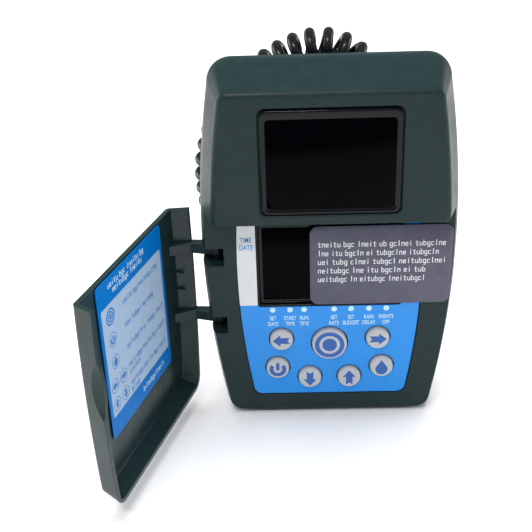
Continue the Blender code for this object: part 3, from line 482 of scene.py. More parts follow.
def add_lamp(name, place, target, width, height, power):
    data = bpy.data.lights.new(name, "AREA")
    data.shape = "RECTANGLE"
    data.size, data.size_y = width, height
    data.energy = power
    lamp = bpy.data.objects.new(name, data)
    bpy.context.scene.collection.objects.link(lamp)
    lamp.location = place
    lamp.rotation_euler = (Vector(target) - Vector(place)).to_track_quat("-Z", "Y").to_euler()
    return lamp


def build_stage():
    place_camera()
    scene = bpy.context.scene
    scene.view_settings.view_transform = "Standard"
    add_lamp("key", (-0.20, -0.70, 1.05), (0, 0, 0.07), 0.50, 0.05, 5.0)
    overhead = add_lamp("overhead", (0.0, 0.3, 1.3), (0, 0.05, 0), 1.4, 1.2, 26.0)
    overhead.visible_glossy = False
    add_lamp("left_panel", (-1.0, 0.25, 0.35), (0, 0, 0.08), 0.9, 0.5, 5.0)
    add_lamp("right_panel", (1.0, 0.25, 0.35), (0, 0, 0.08), 0.9, 0.5, 3.5)
    world = bpy.data.worlds.new("studio")
    world.use_nodes = True
    back = world.node_tree.nodes["Background"]
    back.inputs["Color"].default_value = (0.92, 0.95, 1.0, 1)
    back.inputs["Strength"].default_value = 0.34
    scene.world = world
    bm = bmesh.new()
    bmesh.ops.create_grid(bm, x_segments=1, y_segments=1, size=4.0)
    mesh = bpy.data.meshes.new("floor")
    bm.to_mesh(mesh)
    bm.free()
    mesh.materials.append(moulded("floor_paper", (0.93, 0.93, 0.93), 0.8, 0.01, 0.05,
                                  400.0, specular=0.1))
    floor = bpy.data.objects.new("floor", mesh)
    scene.collection.objects.link(floor)
    floor.location.z = -0.0002


# ---- curly lead ----------------------------------------------------------------------
def smooth_route(points, steps):
    """Points along a Catmull-Rom curve through the route's own points."""
    route = [2 * points[0] - points[1]] + points + [2 * points[-1] - points[-2]]
    result = []
    for k in range(1, len(route) - 2):
        a, b, c, d = route[k - 1:k + 3]
        for step in range(steps):
            t = step / steps
            result.append(0.5 * (2 * b + (c - a) * t + (2 * a - 5 * b + 4 * c - d) * t * t
                                 + (3 * b - a - 3 * c + d) * t ** 3))
    return result + [points[-1]]


def turns_along(route, crest, pitch):
    """How many turns an even coil has made at each point of its route, from a crest on it."""
    travelled = [0.0]
    for before, after in zip(route, route[1:]):
        travelled.append(travelled[-1] + (after - before).length)
    return [(where - crest) / pitch for where in travelled]


COIL_RADIUS = 4.75
COIL_STEPS = 24             # points between two of the route's own


def coil_round(route, turns, radius, per_turn=20):
    """A helix of that radius round the route; each turn leans so that its two sides line up."""
    points = []
    count = int((turns[-1] - turns[0]) * per_turn)
    index = 0
    for step in range(count + 1):
        turn = turns[0] + (turns[-1] - turns[0]) * step / count
        while index < len(route) - 2 and turns[index + 1] < turn:
            index += 1
        share = (turn - turns[index]) / (turns[index + 1] - turns[index])
        spot = route[index].lerp(route[index + 1], share)
        tangent = (route[min(index + 3, len(route) - 1)] - route[max(index - 2, 0)]).normalized()
        outward = Vector((-tangent.z, 0, tangent.x)).normalized()
        across = tangent.cross(outward).normalized()
        pitch = (route[index + 1] - route[index]).length / (turns[index + 1] - turns[index])
        # the first and last turn widen out of and back into the route
        ease = min(1.0, (turn - turns[0]) / 0.7 + 0.05, (turns[-1] - turn) / 0.7 + 0.05)
        angle = FULL_TURN * turn
        lean = -pitch / 4 * math.sin(angle) * ease
        points.append(spot + (outward * math.cos(angle) + across * math.sin(angle)) * radius * ease
                      + tangent * lean)
    return points


def tube_curve(name, points, radius, finish, sides=4):
    curve = bpy.data.curves.new(name, "CURVE")
    curve.dimensions = "3D"
    curve.bevel_depth = radius
    curve.bevel_resolution = sides
    curve.use_fill_caps = True
    spline = curve.splines.new("POLY")
    spline.points.add(len(points) - 1)
    for point, spot in zip(spline.points, points):
        point.co = (*spot, 1.0)
    spline.use_smooth = True
    curve.materials.append(finish)
    item = bpy.data.objects.new(name, curve)
    bpy.context.scene.collection.objects.link(item)
    return item


def lead_route():
    """The lead's own points: out of the gland, along the curly stretch, into the solenoid."""
    x, z = GLAND
    start = BACK + 13 + GAP
    first = [(x, start - 1.5, z), (x, start + 3, z), (x - 2.6, start + 5.4, z + 1.6),
             (x - 6.6, start + 4.8, z + 5.6), (x - 9.8, start + 2.2, z + 11.0)]
    coil = [(-38.5, 46.0, 55.0), (-42.5, 45.0, 66.0), (-44.2, 44.0, 78.0),
            (-43.6, 43.0, 91.0), (-38.6, 43.0, 106.0), (-29.5, 43.0, 119.0), (-19.1, 43.0, 127.0),
            (-10.0, 43.0, 131.7), (-1.5, 43.0, 133.4), (6.3, 43.0, 131.6), (13.0, 43.5, 126.6),
            (18.0, 44.5, 119.0), (20.5, 46.0, 110.0), (21.3, 47.5, 100.5)]
    out = math.sqrt(0.5)
    middle = BACK + 17.0
    reach = SOLENOID_RADIUS + 0.5 + 9.0
    last = [(22.2, 48.6, 93.0), (21.6, middle - 0.4, 86.5),
            (reach * out + 1.8, middle, DOCK_HEIGHT + reach * out + 1.8),
            (reach * out - 1.0, middle, DOCK_HEIGHT + reach * out - 1.0)]
    return [[at(*p) for p in part] for part in (first, coil, last)]


def build_lead():
    sizes = bpy.context.scene.controller_sizes
    finish = finishes()
    radius = sizes.cord_diameter / 2
    first, coil, last = lead_route()
    centre = smooth_route([first[-1]] + coil + [last[0]], COIL_STEPS)
    centre = centre[10:-10]
    turns = turns_along(centre, COIL_CREST * MM, sizes.coil_pitch)
    wound = coil_round(centre, turns, COIL_RADIUS * MM)
    lead_in = smooth_route(first + [wound[0]], 6)[:-1]
    lead_out = smooth_route([wound[-1]] + last, 6)[1:]
    points = lead_in + wound + lead_out
    lead = tube_curve("curly_lead", points, radius, finish["cord"])
    settle(lead, "housing", ("lead_tail_gland", "lead_coil", "lead_tail_solenoid"))

    x, z = GLAND
    relief = [(0, BACK - WALL - 0.8), (2.8, BACK - WALL - 0.8), (2.8, BACK + GAP),
              (5.6, BACK + GAP), (6.0, BACK + GAP + 0.4), (6.0, BACK + 2.6), (5.7, BACK + 3.0)]
    for ring in range(4):
        y = BACK + 3.6 + ring * 2.1
        r = 4.6 - ring * 0.42
        relief += [(r - 0.7, y), (r - 0.7, y + 0.6), (r, y + 0.9), (r - 0.05, y + 1.7),
                   (r - 0.7, y + 1.9)]
    relief += [(2.9, BACK + 12.6), (2.7, BACK + 13.0), (0, BACK + 13.0)]
    gland = add_piece("lead_gland", moved(turned(relief, 48), x, z), finish["rubber"],
                      replaces=("cable_gland",), angle=50)
    taper = [(0, 0.0), (4.2, 0.0), (4.4, 0.2), (4.4, 2.0), (4.1, 2.4)]
    for ring in range(3):
        y, r = 2.8 + ring * 1.9, 3.7 - ring * 0.28
        taper += [(r - 0.6, y), (r - 0.6, y + 0.5), (r, y + 0.8), (r, y + 1.4), (r - 0.5, y + 1.6)]
    taper += [(2.7, 8.8), (2.5, 9.0), (0, 9.0)]
    bm = turned([(r, y + LEDGE_DEPTH) for r, y in taper], 48)
    out = math.sqrt(0.5)
    reach = SOLENOID_RADIUS + 0.5
    base = at(reach * out, BACK + 17.0, DOCK_HEIGHT + reach * out)
    aim = Vector((0, 1, 0)).rotation_difference(Vector((out, 0, out))).to_matrix().to_4x4()
    bmesh.ops.transform(bm, matrix=Matrix.Translation(base) @ aim, verts=bm.verts)
    relief = add_piece("solenoid_relief", bm, finish["rubber"],
                       replaces=("solenoid_strain_relief",), angle=50)


# ---- housing -------------------------------------------------------------------------
def lean_at(y, blend):
    """How far the sides have leaned in at depth y; blend rounds the widest line."""
    if y <= WIDEST_DEPTH - blend:
        return WIDEST_DEPTH - y
    if y >= WIDEST_DEPTH + blend:
        return 0.0
    return (WIDEST_DEPTH + blend - y) ** 2 / (4 * blend)


def top_fall(y):
    """How far the top has fallen at depth y behind its break, which is rounded."""
    past = y - TOP_BREAK
    if past > 1.2:
        return past * TOP_FALL
    return (past + 1.2) ** 2 / 4.8 * TOP_FALL if past > -1.2 else 0.0


def front_ring(y, inset=0.0, low=None):
    side = lean_at(y, 3.0) * SIDE_FLARE + inset
    top = lean_at(y, 1.2) * TOP_SLOPE + top_fall(y) + inset * 1.2
    bottom = lean_at(y, 3.0) * SIDE_FLARE + inset if low is None else low
    return y, outline(HOUSING, side, bottom, HEIGHT - top, max(6.5 - side, 0.8) if low is None
                      else 0.8, max(8.5 - side, 0.8))


def hood_cutter():
    """Takes away what is in front of the ledge; leaves the hood's lower edge and corners round."""
    lip, corner = 1.0, 2.2
    flat = HOOD_FRONT + lip
    rings = []
    for y in (HOOD_FRONT - 3.0, *(flat - lip * math.sin(math.radians(a)) for a in
                                  (90, 75, 60, 45, 30, 15)), flat, -4.0, 0.0):
        drop = max(min((flat - y) / lip, 1.0), 0.0)
        level = HOOD_BOTTOM + lip * (1 - math.sqrt(1 - drop * drop))
        edge = half_width(HOUSING, level + corner) - lean_at(y, 3.0) * SIDE_FLARE
        half = [(edge + 20.0, -5.0), (edge + 20.0, level + corner)]
        for step in range(7):
            angle = math.radians(15 * step)
            half.append((edge - corner * (1 - math.cos(angle)),
                         level + corner * (1 - math.sin(angle))))
        rings.append((y, half + [(-x, z) for x, z in reversed(half)]))
    return loft(rings)


def front_solid():
    sizes = bpy.context.scene.controller_sizes
    depths = [HOOD_FRONT, -4.0, 0.0, 1.0, 1.8, 2.6, 3.4, 4.2, 5.0, 5.8, 6.6, 7.8, 8.4, 9.0, 9.6,
              10.2, SEAM]
    bm = loft([front_ring(y) for y in depths])
    round_rim(bm, HOOD_FRONT, sizes.hood_rounding / MM, 8)
    bm = carve(bm, (CUT, hood_cutter()))
    level = at(0, 0, 0).y
    edges = []
    for edge in bm.edges:
        low = min(v.co.z for v in edge.verts)
        if all(abs(v.co.y - level) < 2e-6 for v in edge.verts) and low < (HOOD_BOTTOM - 1) * MM:
            faces = edge.link_faces
            if len(faces) == 2 and faces[0].normal.angle(faces[1].normal, 0.0) > 0.3:
                edges.append(edge)
    bmesh.ops.bevel(bm, geom=edges, offset=sizes.ledge_rounding, segments=4, profile=0.5,
                    affect="EDGES", clamp_overlap=True, material=-1)
    return bm


def button_holes(extra, y0, y1, radius):
    bm = bmesh.new()
    for x, z, r in BUTTONS.values():
        mouth(lambda grow: circle(x, z, r + extra + grow), y0, y1, radius, bm)
    return bm


def make_front_housing(finish):
    sizes = bpy.context.scene.controller_sizes
    far = HALF_WIDTH + 10
    hollow = loft([front_ring(y, WALL) for y in (PANEL_RECESS + WALL, 6.0, TOP_BREAK, SEAM + 2)])
    hood = loft([front_ring(y, WALL, HOOD_BOTTOM + WALL) for y in
                 (HOOD_FRONT + WALL, PANEL_RECESS + WALL + 2.0)])
    pockets, posts = bmesh.new(), bmesh.new()
    for floor in SLOT_FLOORS:
        block(-far, PIVOT_X + 3.1 + WALL, -1, SEAM + 5, floor - 3.0, floor + SLOT_HEIGHT + 3.0,
              pockets)
    for x, z in POSTS:
        prism(circle(x, z, 3.2, 32), HOOD_FRONT - 1, SEAM + 5, posts)
    hollow = carve(hollow, (JOIN, hood), (CUT, pockets), (CUT, posts))

    recess = sizes.recess_rounding / MM
    panel = mouth(lambda grow: outline(PANEL, -grow, PANEL.low - grow, PANEL.high + grow, 3.6,
                                       0.8), 0.0, PANEL_RECESS, recess)
    wall_back = PANEL_RECESS + WALL + 1
    display = mouth(lambda grow: rounded(-LCD_HALF - grow, LCD_HALF + grow, LCD_LOW - grow,
                                         LCD_HIGH + grow, 1.2 + grow), PANEL_RECESS, wall_back, 0.2)
    seat = HOOD_FRONT + 1.4
    window = mouth(lambda grow: rounded(-WINDOW_HALF - GAP - grow, WINDOW_HALF + GAP + grow,
                                        WINDOW_LOW - GAP - grow, WINDOW_HIGH + GAP + grow,
                                        2.2 + grow), HOOD_FRONT, seat, 0.8)
    opening = prism(rounded(-WINDOW_HALF + WINDOW_SEAT, WINDOW_HALF - WINDOW_SEAT,
                            WINDOW_LOW + WINDOW_SEAT, WINDOW_HIGH - WINDOW_SEAT, 1.5),
                    HOOD_FRONT - 2, HOOD_FRONT + WALL + 1)
    slots, pins = bmesh.new(), bmesh.new()
    for floor in SLOT_FLOORS:
        mouth(lambda grow: [(-far, floor - grow), (PIVOT_X + 3.1 + grow, floor - grow),
                            (PIVOT_X + 3.1 + grow, floor + SLOT_HEIGHT + grow),
                            (-far, floor + SLOT_HEIGHT + grow)], 0.0, PIVOT_Y + 3.3, 0.35, slots)
        bmesh.ops.create_cone(pins, cap_ends=True, segments=32, radius1=1.3 * MM,
                              radius2=1.3 * MM, depth=(SLOT_HEIGHT + 4.0) * MM,
                              matrix=Matrix.Translation(at(PIVOT_X, PIVOT_Y,
                                                           floor + SLOT_HEIGHT / 2)))
    screws = bmesh.new()
    for x, z in POSTS:
        prism(circle(x, z, 1.5, 32), SEAM - 8.0, SEAM + 3, screws)
    bm = carve(front_solid(), (CUT, hollow), (CUT, panel), (CUT, display),
               (CUT, button_holes(0.45, PANEL_RECESS, wall_back, 0.15)), (CUT, window),
               (CUT, opening), (CUT, slots), (CUT, pins), (CUT, screws))
    add_piece("housing_front", bm, finish["housing"], replaces=("front_shell",),
              weighted=True)


def rear_ring(depth, inset=0.0):
    lean = max(depth, 0.0)
    side = lean * REAR_FLARE + inset
    high = HEIGHT - top_fall(REAR_START) - lean * REAR_SLOPE - inset * 1.15
    return REAR_START + depth, outline(HOUSING, side, inset, high, max(6.5 - side, 0.8),
                                       max(8.5 - side, 0.8))


def make_rear_housing(finish):
    depth = BACK - REAR_START
    bm = loft([rear_ring(0.0), rear_ring(depth * 0.5), rear_ring(depth)])
    level = at(0, BACK, 0).y
    rim = [e for e in bm.edges if all(abs(v.co.y - level) < 1e-7 for v in e.verts)]
    bmesh.ops.bevel(bm, geom=rim, offset=2.9 * MM, segments=8, profile=0.5, affect="EDGES",
                    clamp_overlap=True, material=-1)
    hollow = loft([rear_ring(-2.0, WALL), rear_ring(depth - WALL, WALL + 1.6)])
    wells, shafts, keep = bmesh.new(), bmesh.new(), bmesh.new()
    for x, z in POSTS:
        prism(circle(x, z, 4.3, 40), REAR_START - 5, BACK + 2, keep)
        prism(circle(x, z, 3.1, 40), REAR_START + 4.0, BACK + 1, wells)
        prism(circle(x, z, 1.5, 32), REAR_START - 1, REAR_START + 5, shafts)
    prism(circle(*GLAND, 3.3, 40), BACK - WALL - 1, BACK + 1, wells)
    hollow = carve(hollow, (CUT, keep))
    collar = prism(circle(0, DOCK_HEIGHT, SOLENOID_RADIUS + GAP + WALL, 96), BACK - 1.0, BACK + 5.0)
    round_rim(collar, BACK + 5.0, 0.6, 4)
    dock = mouth(lambda grow: circle(0, DOCK_HEIGHT, SOLENOID_RADIUS + GAP + grow, 96),
                 -(BACK + 5.0), -BACK, 0.4)
    # the dock's mouth faces backwards, so its cutter is turned round
    bmesh.ops.transform(dock, matrix=Matrix.Translation((0, -2 * LEDGE_DEPTH * MM, 0))
                        @ Matrix.Diagonal((1, -1, 1, 1)), verts=dock.verts)
    bmesh.ops.recalc_face_normals(dock, faces=dock.faces)
    bm = carve(bm, (JOIN, collar), (CUT, hollow), (CUT, wells), (CUT, shafts), (CUT, dock))
    add_piece("housing_rear", bm, finish["housing"], replaces=("rear_shell",),
              weighted=True)


def make_screws(finish):
    head = REAR_START + 4.0 + GAP
    profile = [(0, SEAM - 7.0), (0.8, SEAM - 7.0), (1.2, SEAM - 6.0), (1.2, head), (2.4, head),
               (2.6, head + 0.2), (2.6, head + 1.0), (2.3, head + 1.6), (1.6, head + 1.95),
               (0, head + 2.05)]
    for number, (x, z) in enumerate(POSTS, 1):
        cross = block(-1.3, 1.3, head + 0.9, head + 3, -0.28, 0.28)
        other = block(-0.28, 0.28, head + 0.9, head + 3, -1.3, 1.3)
        bm = carve(turned(profile, 40), (CUT, cross), (CUT, other))
        add_piece("case_screw_%d" % number, moved(bm, x, z), finish["steel"],
                  replaces=("screw_%d" % number,))


def build_housing():
    finish = finishes()
    make_front_housing(finish)
    make_rear_housing(finish)
    make_screws(finish)
    coat_nodes(finish["rubber"], "housing_gasket")


# ---- window and display --------------------------------------------------------------
def build_window():
    finish = finishes()

    def frame_ring(y, inset, top=None):
        top = inset if top is None else top
        return y, rounded(-WINDOW_HALF + inset, WINDOW_HALF - inset, WINDOW_LOW + inset,
                          WINDOW_HIGH - top, max(2.4 - inset * 0.5, 0.8))

    front = HOOD_FRONT
    rings = [frame_ring(front + 1.1, 0.05), frame_ring(front + 0.25, 0.05),
             frame_ring(front + 0.02, 0.12), frame_ring(front - 0.22, 0.32),
             frame_ring(front - 0.34, 0.62), frame_ring(front - 0.36, 0.95),
             frame_ring(front - 0.30, 1.25, 2.3), frame_ring(front - 0.14, 1.45, 2.7),
             frame_ring(front - 0.06, 1.6, 2.9), frame_ring(front - 0.04, 1.9, 3.2),
             frame_ring(front + 0.3, 1.9, 3.2), frame_ring(front + 1.1, 1.9, 3.2)]
    add_piece("window_frame", loft(rings, closed=True), finish["gloss"],
              replaces=("solar_window",), angle=60)
    pane = loft([frame_ring(front + 1.0, 1.92, 3.22), frame_ring(front + 0.1, 1.92, 3.22),
                 frame_ring(front + 0.02, 2.0, 3.3)])
    add_piece("window_pane", pane, finish["glass"], angle=60)
    coat_nodes(finish["cell"], "solar_cell")


def build_display():
    finish = finishes()

    def ring(y, inset):
        return y, rounded(-LCD_HALF + inset, LCD_HALF - inset, LCD_LOW + inset, LCD_HIGH - inset,
                          max(1.2 - inset * 0.4, 0.3))

    rings = [ring(3.1, 0.12), ring(1.0, 0.12), ring(0.62, 0.22), ring(0.5, 0.42), ring(0.56, 0.7),
             ring(0.9, 0.9), ring(1.7, 1.05), ring(2.05, 1.3), ring(2.2, 1.7), ring(2.25, 2.2),
             ring(3.1, 2.2)]
    add_piece("display_frame", loft(rings, closed=True), finish["gloss"], angle=60)
    lens = loft([ring(3.1, 2.25), ring(2.35, 2.25), ring(2.28, 2.32)])
    add_piece("display_lens", lens, finish["glass"], replaces=("lcd_lens",), angle=60)
    coat_nodes(finish["display"], "lcd_module")
    coat_nodes(finish["rubber"], "lcd_contact_strip")


# ---- print ---------------------------------------------------------------------------
def ink(surface, facing=-1):
    """The two depths between which ink lies on a surface that faces -Y or +Y."""
    depth = bpy.context.scene.controller_sizes.print_depth / MM
    return surface + facing * 0.01, surface + facing * (0.01 + depth)


def word(bm, text, x, z, height, surface, width=0.78, facing=-1):
    """A printed word centred on (x, z), its capitals of that height."""
    curve = bpy.data.curves.new("word", "FONT")
    curve.body = text
    curve.align_x = "CENTER"
    curve.size = height * 1.38 * MM
    curve.offset = 0.00003
    item = bpy.data.objects.new("word", curve)
    bpy.context.scene.collection.objects.link(item)
    depsgraph = bpy.context.evaluated_depsgraph_get()
    mesh = bpy.data.meshes.new_from_object(item.evaluated_get(depsgraph))
    part = bmesh.new()
    part.from_mesh(mesh)
    bmesh.ops.remove_doubles(part, verts=part.verts, dist=1e-7)
    near, top = ink(surface, facing)
    thick = bmesh.ops.extrude_face_region(part, geom=part.faces[:])["geom"]
    bmesh.ops.translate(part, vec=(0, 0, abs(top - near) * MM),
                        verts=[g for g in thick if isinstance(g, bmesh.types.BMVert)])
    if facing < 0:
        turn = Matrix(((width, 0, 0, 0), (0, 0, -1, 0), (0, 1, 0, 0), (0, 0, 0, 1)))
    else:
        turn = Matrix(((-width, 0, 0, 0), (0, 0, 1, 0), (0, 1, 0, 0), (0, 0, 0, 1)))
    bmesh.ops.transform(part, matrix=Matrix.Translation(at(x, near, z - height / 2)) @ turn,
                        verts=part.verts)
    bmesh.ops.recalc_face_normals(part, faces=part.faces)
    merged = bpy.data.meshes.new("word")
    part.to_mesh(merged)
    part.free()
    bm.from_mesh(merged)
    bpy.data.objects.remove(item)
    for data in (mesh, merged):
        bpy.data.meshes.remove(data)
    bpy.data.curves.remove(curve)


# strokes of made-up letters, each (left, right, low, high) in parts of a letter's width and height
STROKES = [
    [(0.0, 0.24, 0.0, 1.0), (0.24, 1.0, 0.8, 1.0), (0.76, 1.0, 0.0, 0.8)],
    [(0.0, 0.24, 0.1, 0.9), (0.1, 0.95, 0.0, 0.18), (0.1, 0.95, 0.82, 1.0)],
    [(0.0, 0.24, 0.0, 1.5), (0.24, 0.9, 0.0, 0.18), (0.76, 1.0, 0.18, 0.85),
     (0.24, 0.9, 0.82, 1.0)],
    [(0.3, 0.56, 0.0, 1.35), (0.0, 0.95, 0.82, 1.0), (0.56, 0.95, 0.0, 0.18)],
    [(0.0, 0.24, 0.1, 0.9), (0.1, 0.9, 0.82, 1.0), (0.1, 0.95, 0.0, 0.18),
     (0.76, 1.0, 0.45, 0.9), (0.24, 0.76, 0.42, 0.58)],
    [(0.35, 0.62, 0.0, 1.5)],
    [(0.76, 1.0, -0.4, 1.0), (0.0, 0.24, 0.1, 0.9), (0.1, 0.76, 0.82, 1.0),
     (0.1, 0.76, 0.0, 0.18), (0.1, 0.85, -0.45, -0.28)],
    [(0.0, 0.24, 0.15, 1.0), (0.1, 0.76, 0.0, 0.18), (0.76, 1.0, 0.0, 1.0)],
    [(0.35, 0.62, 0.0, 1.0), (0.35, 0.62, 1.2, 1.42)],
]


def mock_line(bm, x, z, words, height, pitch, surface, facing=-1, start=0):
    """A line of made-up letters, word by word, that starts at x and reads away from it."""
    near, top = ink(surface, facing)
    way = -facing if facing < 0 else -1
    offset, index = 0.0, start
    for letters in words:
        for _ in range(letters):
            index += 3 + index % 4
            for left, right, low, high in STROKES[index % len(STROKES)]:
                a = x + way * (offset + left * pitch * 0.78)
                b = x + way * (offset + right * pitch * 0.78)
                block(min(a, b), max(a, b), min(near, top), max(near, top), z + low * height,
                      z + high * height, bm)
            offset += pitch
        offset += pitch * 0.62
    return offset


def add_to(bm, part):
    """Put a finished shape's mesh into another shape."""
    mesh = bpy.data.meshes.new("part")
    part.to_mesh(mesh)
    part.free()
    bm.from_mesh(mesh)
    bpy.data.meshes.remove(mesh)


def ring_shape(bm, x, z, inner, outer, y0, y1, steps=64):
    profile = [(inner, y0), (outer, y0), (outer, y1), (inner, y1)]
    add_to(bm, moved(turned(profile, steps, closed=True), x, z))


def disc(bm, x, z, radius, y0, y1, steps=64):
    add_to(bm, moved(turned([(0, y0), (radius, y0), (radius, y1), (0, y1)], steps), x, z))


ARROW = [(-2.9, 0.0), (-0.35, 2.15), (-0.35, 1.05), (2.7, 1.15), (1.9, 0.0), (2.7, -1.15),
         (-0.35, -1.05), (-0.35, -2.15)]


def arrow(turn, scale=1.0):
    """Outline of an arrow that points left, turned by that many degrees."""
    c, s = math.cos(math.radians(turn)), math.sin(math.radians(turn))
    return [((x * c - z * s) * scale, (x * s + z * c) * scale) for x, z in ARROW]


def drop(scale=1.0):
    points = []
    for step in range(25):
        angle = math.radians(-205 + 230 * step / 24)
        points.append((2.15 * math.cos(angle) * scale, (-0.75 + 2.15 * math.sin(angle)) * scale))
    return points + [(0.0, 3.05 * scale)]


def power_arc(inner, outer, open_angle=52, steps=32):
    points = []
    for radius, way in ((outer, 1), (inner, -1)):
        for step in range(steps + 1):
            t = step / steps if way > 0 else 1 - step / steps
            angle = math.radians(90 + open_angle + (360 - 2 * open_angle) * t)
            points.append((radius * math.cos(angle), radius * math.sin(angle)))
    return points


def shifted(points, x, z):
    return [(px + x, pz + z) for px, pz in points]


def symbol(name, bm, x, z, y0, y1, scale=1.0):
    """Draw a button's symbol at (x, z) between two depths."""
    if name in ("left", "right", "up", "down"):
        turn = {"left": 0, "right": 180, "up": -90, "down": 90}[name]
        prism(shifted(arrow(turn, scale * 1.2), x, z), y0, y1, bm)
    elif name == "water":
        prism(shifted(drop(scale * 1.12), x, z), y0, y1, bm)
    elif name == "power":
        prism(shifted([(px * scale, pz * scale) for px, pz in power_arc(1.75, 3.3)], x, z),
              y0, y1, bm)
        prism(shifted(rounded(-0.68 * scale, 0.68 * scale, -0.6 * scale, 3.0 * scale,
                              0.6 * scale, 4), x, z), y0, y1, bm)
    else:
        ring_shape(bm, x, z, 3.9 * scale, 5.55 * scale, y0, y1, 64)
        disc(bm, x, z, 2.75 * scale, y0, y1)


PANEL_WORDS = [(-21.0, "SET", "DAYS"), (-14.6, "START", "TIME"), (-9.4, "RUN", "TIME"),
               (1.7, "SET", "RATE"), (8.0, "SET", "BUDGET"), (14.6, "RAIN", "DELAY"),
               (21.0, "EVENTS", "OFF")]


def build_panel():
    finish = finishes()
    front = LABEL_FRONT
    sheet = prism(outline(PANEL, GAP, PANEL.low + GAP, PANEL.high - GAP, 3.3, 0.6, along=40),
                  front, PANEL_RECESS - GAP)
    holes = bmesh.new()
    prism(rounded(-LCD_HALF, LCD_HALF, LCD_LOW, LCD_HIGH, 1.2), -2, 3, holes)
    for x, z, r in BUTTONS.values():
        prism(circle(x, z, r + 0.5), -2, 3, holes)
    bm = carve(sheet, (CUT, holes))
    for point, normal in (((-LCD_HALF + 0.05, 0, 0), (1, 0, 0)), ((0, 0, 47.9), (0, 0, 1))):
        bmesh.ops.bisect_plane(bm, geom=bm.verts[:] + bm.edges[:] + bm.faces[:],
                               plane_co=Vector(point) * MM, plane_no=normal)
    for face in bm.faces:
        spot = face.calc_center_median()
        if spot.x < (-LCD_HALF + 0.05) * MM and spot.z > 47.9 * MM:
            face.material_index = 1
    add_piece("fascia_print", bm, [finish["panel"], finish["strip"]],
              replaces=("fascia_label",))

    words = bmesh.new()
    near, top = ink(front)
    for x, upper, lower in PANEL_WORDS:
        prism(rounded(x - 1.05, x + 1.05, 44.75, 46.85, 1.0, 6), top, near, words)
        word(words, upper, x, 42.3, 1.75, front, 0.66)
        word(words, lower, x, 39.85, 1.75, front, 0.66)
    add_piece("fascia_words", words, finish["words"])
    words = bmesh.new()
    word(words, "TIME", -30.0, 74.9, 2.05, front, 0.72)
    word(words, "DATE", -30.0, 71.9, 2.05, front, 0.72)
    add_piece("strip_words", words, finish["blue_words"])


def build_buttons():
    finish = finishes()
    for name, (x, z, r) in BUTTONS.items():
        profile = [(0, CAP_FACE), (r - 1.15, CAP_FACE), (r - 0.95, CAP_FACE + 0.03)]
        for step in range(1, 7):
            angle = math.radians(15 * step)
            profile.append((r - 0.95 + 0.95 * math.sin(angle),
                            CAP_FACE + 0.03 + 0.95 * (1 - math.cos(angle))))
        profile += [(r, 3.5), (r + 0.9, 3.5), (r + 0.9, 4.3), (1.4, 4.3), (1.4, 7.4), (0, 7.4)]
        body = name + "_button"
        add_piece("cap_" + name, moved(turned(profile, 72), x, z), finish["button"],
                  body=body, replaces=("button_" + name,), angle=40)
        marks = bmesh.new()
        near, top = ink(CAP_FACE)
        symbol(name, marks, x, z, top, near, 1.0 if name == "select" else 0.97)
        add_piece("symbol_" + name, marks, finish["symbol"], body=body)
    coat_nodes(finish["switch"], *["switch_" + name for name in BUTTONS])
    coat_nodes(finish["rubber"], "button_mat")
    coat_nodes(finish["board"], "circuit_board")
    coat_nodes(finish["capacitor"], "storage_capacitor")


def build_notice():
    """The grey film stuck over the display's right half, with its greeked lines."""
    finish = finishes()
    low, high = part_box("notice_film")
    x0, x1, z0, z1 = low.x / MM, high.x / MM, low.z / MM, high.z / MM
    front = low.y / MM + LEDGE_DEPTH
    back = high.y / MM + LEDGE_DEPTH
    rings = [(front + 0.05, rounded(x0, x1, z0, z1, 3.2, 12)),
             (front, rounded(x0 + 0.08, x1 - 0.08, z0 + 0.08, z1 - 0.08, 3.1, 12))]
    bm = loft([(back, rounded(x0, x1, z0, z1, 3.2, 12))] + rings)
    add_piece("notice_sheet", bm, finish["film"], replaces=("notice_film",), angle=60)
    words = bmesh.new()
    lines = [(6, 3, 5, 2, 6, 8), (3, 3, 5, 2, 8, 8), (3, 4, 5, 6, 12), (8, 3, 3, 5, 2, 3),
             (8, 2, 7, 10)]
    spans = [45.8, 43.4, 46.2, 39.0, 39.0]
    for row, (letters, span) in enumerate(zip(lines, spans)):
        pitch = span / (sum(letters) + 0.62 * (len(letters) - 1))
        mock_line(words, x0 + 2.9, z1 - 8.2 - 3.5 * row, letters, 1.5, pitch, front, start=row)
    add_piece("notice_words", words, finish["film_words"])


# ---- cover ---------------------------------------------------------------------------
def cover_ring(y):
    """Outside of the cover at depth y; it runs past the top, where it is cut off square."""
    side = (COVER_RIM - y) * COVER_LEAN
    return y, outline(COVER, side, COVER_LOW + side, COVER_HIGH + 8.0, max(6.0 - side, 1.2), 1.2)


def hollow_ring(y):
    """Outline of the space inside the cover; it runs out through the cover's open top."""
    side = (COVER_RIM - y) * COVER_LEAN + COVER_WALL
    return y, outline(COVER, side, COVER_LOW + side, COVER_HIGH + 3.0, max(5.0 - side, 1.4), 0.8)


def ellipsoid(centre, radii):
    bm = bmesh.new()
    bmesh.ops.create_uvsphere(bm, u_segments=56, v_segments=28, radius=1.0)
    matrix = Matrix.Translation(centre) @ Matrix.Diagonal((*(r * MM for r in radii), 1.0))
    bmesh.ops.transform(bm, matrix=matrix, verts=bm.verts)
    return bm


